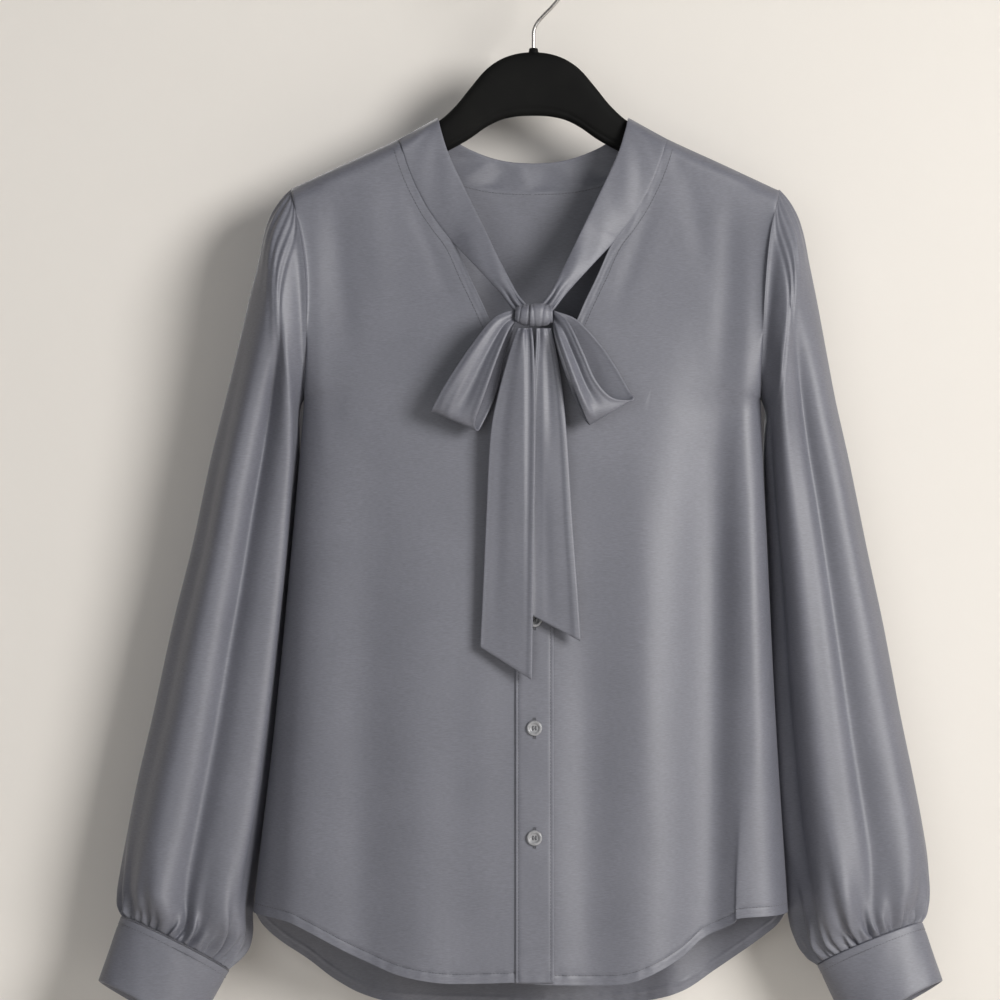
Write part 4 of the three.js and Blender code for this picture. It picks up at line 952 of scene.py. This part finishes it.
def bow_loop(name, columns, material, folds, turn):
    """A loop from the knot and back to it, bellied out, with the pleats that the knot draws up."""
    grid, place, across, columns = ribbon_grid(columns, 140, 41)
    last = columns["row"][-1]
    facing = np.where(place < last / 2, -1, 1)
    belly = 1.6 * np.sin(np.pi * place / last) * 4 * across * (1 - across)
    held = 1 - smooth(np.minimum(place, last - place) / 1.6)
    pleats = 0.7 * held * np.cos(across * math.pi * 3 + turn)
    soft = 0.3 * np.sin(across * 6 + place * 1.3 + turn) * smooth(place / 2) * smooth((last - place) / 2)
    grid[..., 1] += facing * belly + pleats + soft - ribbon_folds(folds, across, place)
    return cloth_piece(name, band(grid, BAND_HALF, roll=0.55), material)


def bow_tail(name, columns, material, ridge_x, falls, folds):
    """A tail whose crest runs down at ridge_x. It falls away by falls on its far side of the crest."""
    grid, place, across, columns = ribbon_grid(columns, 130, 37)
    x = grid[..., 0]
    side = np.clip((ridge_x - x) / (ridge_x - x[:, :1]), 0, 1)
    crest = falls * (1 - side**1.4) * np.where(side > 0, 1, 0.45 + 0.55 * bump(x - ridge_x, 2.6))
    pleats = 0.12 * np.cos(across * math.pi * 4) * reading(columns, "row", place, "fold")
    rise = crest * smooth(place / 0.6 + 0.35) * smooth((7.5 - place) / 6) + ribbon_folds(folds, across, place)
    rise = rise + 0.25 * np.sin(place * 1.9 + across * 3 + x[:, -1:] / 9) * np.sin(across * math.pi)
    grid[..., 1] -= rise + pleats * smooth((2.2 - place) / 2)
    half = np.full(len(grid), BAND_HALF)
    half[-1] *= 0.35
    grid[-1] = mix(grid[-2], grid[-1], 0.25)
    return cloth_piece(name, band(grid, half, roll=0.5), material)


def knot(material):
    along = np.sin(np.linspace(-1, 1, 80) * math.pi / 2)[:, None]
    angle = round_angles(80)[None, :]
    swell = np.sqrt(1 - 0.6 * np.abs(along) ** 3.4) * (1 - 0.07 * smooth((-0.2 - along) / 0.1))
    creases = np.ones(np.broadcast(along, angle).shape)
    for at, slant, depth, width in KNOT_CREASES:
        creases -= depth * bump(along - at - slant * np.sin(angle + 0.6), width)
    creases += 0.018 * np.sin(angle * 3 + along * 4)
    x = KNOT["x"] + KNOT["half_width"] * along + 0 * angle
    y = KNOT["y"] + KNOT["half_depth"] * swell * creases * rounded(np.cos(angle), 0.8)
    z = KNOT["z"] + KNOT["half_height"] * swell * creases * rounded(np.sin(angle), 0.8)
    return cloth_piece("bow_knot", loft(np.stack([x, y, z], axis=-1)), material)


# The hanger

def hanger_body(material):
    tip = np.linspace(174, 180, 5)
    x = np.concatenate([-tip[::-1], np.linspace(-172, 172, 116), tip])[:, None]
    at = {name: reading(HANGER_SECTIONS, "x", np.abs(x), name) for name in HANGER_SECTIONS}
    angle = (np.arange(64)[None, :] + 0.5) * 2 * math.pi / 64
    rise = rounded(np.sin(angle), at["fullness"])
    height, centre = (at["top"] - at["bottom"]) / 2, (at["top"] + at["bottom"]) / 2
    lip = 1 - 0.13 * bump((rise + 1) * height - 5.2, 0.9)
    y = at["depth"] * rounded(np.cos(angle), at["fullness"]) * lip
    rings = np.stack([x + 0 * y, y, centre + height * rise], axis=-1)
    return make_piece("hanger_moulding", loft(rings), material, ["hanger_body"], sharp=70)


def hook_line():
    points = [(0.4, -79.65), (0.4, -70), (0.8, -62.5), (3.6, -56.5), (8.5, -50.8), (14, -45.2)]
    for degrees in (-42, -26, -10, 8, 26, 44, 62, 80, 98, 116, 134, 152, 170, 186, 200):
        turn = math.radians(degrees)
        points.append((2 + HOOK_RADIUS * math.cos(turn), WIRE_RADIUS + HOOK_RADIUS * (math.sin(turn) - 1)))
    line = table("x z", *points)
    steps = np.hypot(np.diff(line["x"]), np.diff(line["z"]))
    line["along"] = np.concatenate([[0], np.cumsum(steps)])
    along = np.linspace(0, line["along"][-1], 220)
    x, z = reading(line, "along", along, "x"), reading(line, "along", along, "z")
    return np.stack([x, 0 * x, z], axis=-1)


def bar(line, side, other, radius, sides):
    """Rings round a line, in the plane of two directions."""
    angle = round_angles(sides)[None, :, None]
    ring = side[:, None, :] * np.cos(angle) + other[..., None, :] * np.sin(angle)
    return line[:, None, :] + ring * radius


def hook_wire(material):
    line = hook_line()
    side = np.cross(unit(np.gradient(line, axis=0)), FRONT_TO_BACK)
    ends = np.minimum(np.arange(len(line)), np.arange(len(line))[::-1])
    radius = WIRE_RADIUS * np.sqrt(1 - (1 - np.clip((ends + 0.4) / 2.2, 0, 1)) ** 2)
    rings = bar(line, side, FRONT_TO_BACK, radius[:, None, None], 20)
    return make_piece("hook_wire", loft(rings), material, ["hanger_hook"])


def thread_bar(line, axis, radius, sides=6):
    tangent = unit(np.gradient(line, axis=0))
    side = unit(np.cross(tangent, axis))
    return loft(bar(line, side, np.cross(side, tangent), radius, sides))


def facing_axes(axis):
    """An axis as a unit vector, and two directions square to it."""
    axis = unit(np.array(axis, float))
    side = unit(np.cross(axis, [0.0, 0.3, 1.0]))
    return axis, side, np.cross(axis, side)


def lathe(profile, sides, centre, axis):
    """Rings of radius and height turned about an axis through a centre."""
    axis, first, second = facing_axes(axis)
    angle = round_angles(sides)[:, None]
    ring = first * np.cos(angle) + second * np.sin(angle)
    return np.stack([np.array(centre) + axis * height + ring * radius for radius, height in profile])


# Buttons and stitches

def button(name, centre, axis, material, hole_shade, thread):
    make_piece(name + "_shell", loft(lathe(BUTTON_PROFILE, 40, centre, axis)), material, [name])
    axis, side, up = facing_axes(axis)
    # Near-black domes in the four holes: painted shade for the holes' dark insides, not a part of the button.
    hole_shadows = [
        loft(lathe(HOLE_SHADOW_PROFILE, 10, centre + (side * a + up * b) * 1.15, axis))
        for a, b in ((1, 1), (1, -1), (-1, -1), (-1, 1))
    ]
    t = np.linspace(-1, 1, 9)[:, None]
    arch = centre + up * 1.2 * t + axis * (BUTTON_FLOOR + 0.34 * np.cos(t * math.pi / 2))
    threads = [thread_bar(arch + side * place, axis, 0.19) for place in (0.98, 1.42, -1.42, -0.98)]
    make_piece(name + "_shell_hole_shadows", joined(hole_shadows), hole_shade)
    make_piece(name + "_shell_thread", joined(threads), thread)


def joined(forms):
    points, faces, count = [], [], 0
    for form_points, form_faces in forms:
        points.append(form_points)
        faces += [[index + count for index in face] for face in form_faces]
        count += len(form_points)
    return np.concatenate(points), faces


def stitch_row(line, normals):
    """Single stitches along a line, each a short bar that dives into the cloth at both ends."""
    steps = np.linalg.norm(np.diff(line, axis=0), axis=1)
    along = np.concatenate([[0], np.cumsum(steps)])
    forms = []
    for k in range(int(along[-1] / STITCH_PITCH)):
        middle = (k + 0.5) * STITCH_PITCH
        places = middle + np.array([-0.5, -0.36, 0, 0.36, 0.5]) * STITCH_LENGTH
        centre = np.stack([np.interp(places, along, line[:, axis]) for axis in range(3)], axis=-1)
        normal = unit(np.array([np.interp(middle, along, normals[:, axis]) for axis in range(3)]))
        centre += normal * np.array([-0.3, -0.04, 0.05, -0.04, -0.3])[:, None]
        forms.append(thread_bar(centre, normal, STITCH_RADIUS, 5))
    return forms


def body_line(face, x, z, lift):
    """Points on the body's outside along a line, and its normals there."""
    here = body_point(face, x, z, lift)
    beside = body_point(face, x + 0.5, z, lift) - here
    below = body_point(face, x, z - 0.5, lift) - here
    normals = unit(np.cross(beside, below))
    outward = -1 if face == "front" else 1
    normals *= np.where(normals[:, 1:2] * outward < 0, -1, 1)
    return here, normals


def hem_stitches(face, direction, inner_x):
    share = np.linspace(0, 1, 240)
    z = np.full(240, -800.0)
    for _ in range(8):
        x = mix(inner_x, half_width(z, np.full(240, direction)) * direction, share)
        z = hem_height(face, np.abs(x) / half_width(z, x), x) + HEM_WIDTH
    return stitch_row(*body_line(face, x, z, 0.05))


def below_edge(reach, edge, gap, direction):
    """A line that runs square to an edge at a gap below it."""
    slope = np.gradient(edge, reach)
    length = np.hypot(1, slope)
    return (reach + gap * slope / length) * direction, edge - gap / length


def facing_stitches(direction):
    reach = np.linspace(19, 104, 160)
    x, z = below_edge(reach, reading(V_EDGE, "x", reach, "z"), HEM_WIDTH, direction)
    return stitch_row(*body_line("front", x, z, 0.05))


def neckline_stitches(direction):
    """A row under the seam of the neckband, on the back's inside, where it shows through the neck."""
    reach = np.linspace(1, 84, 160)
    x, z = below_edge(reach, top_edge("back", reach), 2.2, direction)
    line, normals = body_line("back", x, z, -CLOTH - 0.05)
    return stitch_row(line, -normals)


def on_placket(x, z, rise=0.0):
    """Points and normals on the outside of the button band."""
    return body_line("front", x, z, PLACKET_TOP + placket_lift(x, z) + rise)


def placket_stitches():
    heights = np.linspace(FRONT_EDGE - 2, FRONT_HEM + 3, 240)
    rows = [np.full(240, x) for x in (PLACKET_LEFT + PLACKET_STITCH, PLACKET_RIGHT - PLACKET_STITCH)]
    return [form for across in rows for form in stitch_row(*on_placket(across, heights))]


def buttonhole(z):
    """Close stitches on each side of a slit that lies under a button, and a bar at each of its ends."""
    side = np.array([0.25, 0.7, 1.25])
    rows = [(height, a * side, 0.16, 0.3) for a in (-1, 1) for height in np.arange(z - 7.6, z + 7.7, 0.62)]
    rows += [(height, np.array([-1.3, 0, 1.3]), 0.14, 0.36) for height in (z - 8, z + 8)]
    forms = []
    for height, reach, crown, radius in rows:
        line, normals = on_placket(BUTTON_X + reach, np.full(3, height), np.array([0, crown, 0]))
        forms.append(thread_bar(line, normals[1], radius, 5))
    return forms


def cuff_stitches(sections, foot):
    degrees, down = np.linspace(0, 360, 240), np.full(240, 0.125)
    line = cuff_point(sections, foot, degrees, down, CUFF_HALF + 0.1)
    return stitch_row(line, unit(line - cuff_point(sections, foot, degrees, down, 0)))


# Materials

class Look:
    """A material's nodes, with short ways to add those that all materials here use."""

    def __init__(self, name):
        self.material = bpy.data.materials.new(name)
        self.material.use_nodes = True
        self.nodes = self.material.node_tree.nodes
        self.shader = self.nodes["Principled BSDF"]

    def fill(self, node, values=None, wires=None):
        """Sets plain values on a node's sockets and leads wires into others."""
        for socket, value in (values or {}).items():
            node.inputs[socket].default_value = value
        for socket, output in (wires or {}).items():
            self.material.node_tree.links.new(output, node.inputs[socket])
        return node

    def add(self, kind, values=None, wires=None):
        return self.fill(self.nodes.new("ShaderNode" + kind), values, wires)

    def metres(self):
        return self.add("TexCoord").outputs["Object"]

    def place(self, scale=(1000, 1000, 1000)):
        """Object coordinates, in millimetres unless another scale is given."""
        return self.add("Mapping", {"Scale": scale}, {"Vector": self.metres()}).outputs["Vector"]

    def noise(self, vector, scale, detail, roughness=0.5):
        values = {"Scale": scale, "Detail": detail, "Roughness": roughness}
        return self.add("TexNoise", values, {"Vector": vector}).outputs["Fac"]

    def ramp(self, factor, low, low_color, high, high_color):
        node = self.add("ValToRGB", wires={"Fac": factor})
        first, last = node.color_ramp.elements
        first.position, first.color = low, (*low_color, 1)
        last.position, last.color = high, (*high_color, 1)
        return node.outputs["Color"]

    def spread(self, factor, low, high):
        return self.add("MapRange", {"To Min": low, "To Max": high}, {"Value": factor}).outputs["Result"]

    def bumps(self, height, strength, distance, onto=None):
        wires = {"Height": height} if onto is None else {"Height": height, "Normal": onto}
        return self.add("Bump", {"Strength": strength, "Distance": distance * MM}, wires).outputs["Normal"]

    def finish(self, color, normal=None, roughness=None, **values):
        """Wires the shader's main sockets and sets plain values on others, named with _ for a space."""
        wires = {"Base Color": color, "Normal": normal, "Roughness": roughness}
        values = {socket.replace("_", " "): value for socket, value in values.items()}
        self.fill(self.shader, values, {socket: wire for socket, wire in wires.items() if wire is not None})
        return self.material


def satin_material():
    """Slate grey satin: a fine twill face, faint slubs, soft unevenness and a broad gloss."""
    look = Look("slate_satin")
    place = look.place()
    patches = look.noise(place, 0.018, 3)
    threads = look.noise(look.place((260, 260, 2600)), 1, 4, 0.6)
    mixing = look.add("Mix")
    mixing.data_type = "RGBA"
    mixing.blend_type = "MULTIPLY"
    base = look.ramp(patches, 0.3, (0.134, 0.137, 0.164), 0.7, (0.150, 0.153, 0.182))
    shade = look.ramp(threads, 0.35, (0.74, 0.74, 0.75), 0.65, (1.1, 1.1, 1.1))
    look.fill(mixing, {"Factor": 0.75}, {"A": base, "B": shade})
    weave = look.add("TexWave", {"Scale": 0.55, "Distortion": 1.2}, {"Vector": place})
    weave.wave_type = "BANDS"
    weave.bands_direction = "DIAGONAL"
    twill = look.bumps(weave.outputs["Fac"], 0.12, 0.03)
    slubs = look.bumps(threads, 0.24, 0.06, twill)
    soft = look.bumps(look.noise(place, 0.09, 2), 0.35, 0.5, slubs)
    gloss = {"IOR": 1.55, "Specular_IOR_Level": 0.7, "Sheen_Weight": 0.05, "Sheen_Roughness": 0.35}
    return look.finish(mixing.outputs["Result"], soft, look.spread(patches, 0.5, 0.56), **gloss)


def thread_material():
    look = Look("grey_thread")
    ply = look.noise(look.place(), 2.4, 2)
    color = look.ramp(ply, 0.3, (0.055, 0.056, 0.066), 0.7, (0.085, 0.086, 0.1))
    return look.finish(color, look.bumps(ply, 0.3, 0.06), Roughness=0.5, Sheen_Weight=0.3)


def plastic_material():
    look = Look("black_plastic")
    place = look.place()
    cloud = look.noise(place, 0.03, 3)
    color = look.ramp(cloud, 0.3, (0.0035, 0.0035, 0.0035), 0.7, (0.0065, 0.0065, 0.006))
    grain = look.bumps(look.noise(place, 1.6, 3), 0.16, 0.08)
    return look.finish(color, grain, look.spread(cloud, 0.62, 0.74), Specular_IOR_Level=0.12)


def steel_material():
    look = Look("polished_wire")
    drawn = look.noise(look.place((4000, 4000, 300)), 1, 3)
    color = look.ramp(drawn, 0.3, (0.34, 0.325, 0.31), 0.7, (0.52, 0.5, 0.48))
    roughness = look.spread(look.noise(look.place(), 0.2, 3), 0.2, 0.36)
    return look.finish(color, look.bumps(drawn, 0.06, 0.03), roughness, Metallic=1)


def button_material():
    look = Look("grey_button")
    place = look.place()
    swirl = look.noise(place, 0.35, 4)
    color = look.ramp(swirl, 0.3, (0.24, 0.241, 0.25), 0.7, (0.33, 0.331, 0.342))
    grain = look.bumps(look.noise(place, 1.2, 2), 0.05, 0.05)
    return look.finish(color, grain, look.spread(swirl, 0.16, 0.28), Coat_Weight=0.4, Coat_Roughness=0.12)


def hole_shadow_material():
    # Painted shade: a near-black colour for the domes in the button's holes.
    look = Look("button_hole_shadow")
    color = look.ramp(look.noise(look.place(), 3, 2), 0.3, (0.02, 0.02, 0.022), 0.7, (0.045, 0.045, 0.048))
    return look.finish(color, Roughness=0.7)


def wall_material():
    """A warm pale wall that only shows from its front."""
    look = Look("pale_wall")
    metres = look.metres()
    color = look.ramp(look.noise(metres, 1.6, 3), 0.25, (0.72, 0.685, 0.635), 0.75, (0.75, 0.715, 0.67))
    material = look.finish(color, look.bumps(look.noise(metres, 90, 4), 0.1, 1), Roughness=0.85)
    behind = look.add("NewGeometry").outputs["Backfacing"]
    clear = look.add("BsdfTransparent").outputs["BSDF"]
    choice = look.add("MixShader", wires={"Fac": behind, 1: look.shader.outputs["BSDF"], 2: clear})
    look.fill(look.nodes["Material Output"], wires={"Surface": choice.outputs["Shader"]})
    return material


def floor_material():
    look = Look("pale_floor")
    patches = look.noise(look.metres(), 2, 4)
    return look.finish(look.ramp(patches, 0.3, (0.62, 0.6, 0.57), 0.7, (0.67, 0.65, 0.62)), Roughness=0.7)


# The room

def stage_plane(name, corners, material):
    mesh = bpy.data.meshes.new(name)
    mesh.from_pydata(corners, [], [(0, 1, 2, 3)])
    mesh.materials.append(material)
    plane = bpy.data.objects.new(name, mesh)
    bpy.context.scene.collection.objects.link(plane)
    return plane


def room():
    """A wall just behind the blouse, which throws no shadow on its back, and a floor. These are in metres."""
    reach, y, floor, top = 4, 0.066, -1.35, 2.6
    wall_corners = [(-reach, y, floor), (reach, y, floor), (reach, y, top), (-reach, y, top)]
    floor_corners = [(-reach, -5, floor), (reach, -5, floor), (reach, 5, floor), (-reach, 5, floor)]
    stage_plane("wall", wall_corners, wall_material()).visible_shadow = False
    stage_plane("floor", floor_corners, floor_material())


def area_light(name, place, size, power, color):
    light = bpy.data.lights.new(name, "AREA")
    light.shape = "DISK"
    light.size = size
    light.energy = power
    light.color = color
    lamp = bpy.data.objects.new(name, light)
    lamp.location = place
    lamp.rotation_euler = (Vector(LIGHT_TARGET) - Vector(place)).to_track_quat("-Z", "Y").to_euler()
    bpy.context.scene.collection.objects.link(lamp)


def lights():
    area_light("key", (2.35, -2.75, 0.35), 1.6, 130, (1, 0.985, 0.965))
    area_light("front", (-1.0, -3.2, 0.0), 2.0, 17, (0.96, 0.98, 1))
    area_light("back", (-0.8, 3.0, 0.8), 1.8, 48, (1, 1, 1))
    world = bpy.data.worlds.new("studio")
    world.use_nodes = True
    background = world.node_tree.nodes["Background"].inputs
    background["Color"].default_value = (0.93, 0.95, 1, 1)
    background["Strength"].default_value = 0.1
    bpy.context.scene.world = world
    bpy.context.scene.view_settings.view_transform = "Standard"


def camera():
    data = bpy.data.cameras.new("camera")
    data.lens = 135
    data.sensor_width = 36
    data.clip_end = 50
    view = bpy.data.objects.new("camera", data)
    view.location = (-0.0264, -3.0, -0.4384)
    view.rotation_euler = (math.pi / 2, 0, 0)
    bpy.context.scene.collection.objects.link(view)
    bpy.context.scene.camera = view


def cuff_button(name, sections, foot, shell, hole_shadows, thread):
    """A button on the far side of a cuff."""
    degrees, down = np.array([180 + 7 * np.sign(foot["outer_x"])]), np.array([0.5])
    where = cuff_point(sections, foot, degrees, down)[0]
    higher = cuff_point(sections, foot, degrees, down - 0.1)[0]
    beside = cuff_point(sections, foot, degrees + 6, down)[0]
    facing = unit(np.cross(higher - where, beside - where))
    facing = facing if facing[1] > 0 else -facing
    button(name, where + facing * 0.2, facing, shell, hole_shadows, thread)


def build_cloth(satin):
    """Every piece of the blouse, by the node that it stands for."""
    cloth = {
        "front_right": front_panel("front_right", RIGHT_FRONT_EDGE, -1, satin),
        "front_left": front_panel("front_left", LEFT_FRONT_EDGE, 1, satin),
        "back": back_panel(satin),
        "band": placket(satin),
        "sleeve_right": sleeve("sleeve_right", RIGHT_SLEEVE, RIGHT_SLEEVE_FOLDS, 11, satin),
        "sleeve_left": sleeve("sleeve_left", LEFT_SLEEVE, LEFT_SLEEVE_FOLDS, 23, satin),
        "cuff_right": cuff("cuff_right", RIGHT_SLEEVE, RIGHT_CUFF_FOOT, satin),
        "cuff_left": cuff("cuff_left", LEFT_SLEEVE, LEFT_CUFF_FOOT, satin),
        "neck_back": neckband_back(satin),
        "neck_right": neckband_front("neckband_right", -1, satin),
        "neck_left": neckband_front("neckband_left", 1, satin),
        "loop_right": bow_loop("bow_loop_right", RIGHT_LOOP, satin, RIGHT_LOOP_FOLDS, 0.3),
        "loop_left": bow_loop("bow_loop_left", LEFT_LOOP, satin, LEFT_LOOP_FOLDS, 1.1),
        "tail_right": bow_tail("bow_tail_right", RIGHT_TAIL, satin, -8, 3.4, RIGHT_TAIL_FOLDS),
        "tail_left": bow_tail("bow_tail_left", LEFT_TAIL, satin, 8, 1.6, LEFT_TAIL_FOLDS),
    }
    knot(satin)
    return cloth


def build_hanger():
    plastic = plastic_material()
    hanger_body(plastic)
    hook_wire(steel_material())
    collar = lathe(COLLAR_PROFILE, 32, (0.4, 0, -80), (0, 0, 1))
    make_piece("hook_collar", loft(collar), plastic)


def build_buttons(thread):
    # The second material is painted shade for the button holes.
    shell, hole_shadows = button_material(), hole_shadow_material()
    for index, z in enumerate(BUTTON_HEIGHTS):
        where, normals = body_line("front", np.array([BUTTON_X]), np.array([float(z)]), PLACKET_TOP)
        button(f"button_{index + 1}", where[0], normals[0], shell, hole_shadows, thread)
    cuff_button("cuff_button_right", RIGHT_SLEEVE, RIGHT_CUFF_FOOT, shell, hole_shadows, thread)
    cuff_button("cuff_button_left", LEFT_SLEEVE, LEFT_CUFF_FOOT, shell, hole_shadows, thread)


def build_stitches(thread):
    back_hem = hem_stitches("back", -1, 0) + hem_stitches("back", 1, 0)
    stitches = {
        "front_right": hem_stitches("front", -1, RIGHT_FRONT_EDGE) + facing_stitches(-1),
        "front_left": hem_stitches("front", 1, 16.5) + facing_stitches(1),
        "back": back_hem + neckline_stitches(-1) + neckline_stitches(1),
        "band": placket_stitches() + [form for z in BUTTON_HEIGHTS for form in buttonhole(z)],
        "cuff_right": cuff_stitches(RIGHT_SLEEVE, RIGHT_CUFF_FOOT),
        "cuff_left": cuff_stitches(LEFT_SLEEVE, LEFT_CUFF_FOOT),
    }
    for name, forms in stitches.items():
        make_piece("stitches_" + name, joined(forms), thread)


def build():
    thread = thread_material()
    cloth = build_cloth(satin_material())
    build_hanger()
    build_buttons(thread)
    build_stitches(thread)


def corners(box):
    return [list(corner) for corner in box]


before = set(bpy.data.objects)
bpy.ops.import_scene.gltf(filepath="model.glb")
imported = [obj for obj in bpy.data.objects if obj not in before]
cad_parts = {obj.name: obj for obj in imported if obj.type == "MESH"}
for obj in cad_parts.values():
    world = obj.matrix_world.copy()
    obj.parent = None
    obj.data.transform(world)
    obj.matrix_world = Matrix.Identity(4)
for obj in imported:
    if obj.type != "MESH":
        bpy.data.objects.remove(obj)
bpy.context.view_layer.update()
camera()
build()
room()
lights()
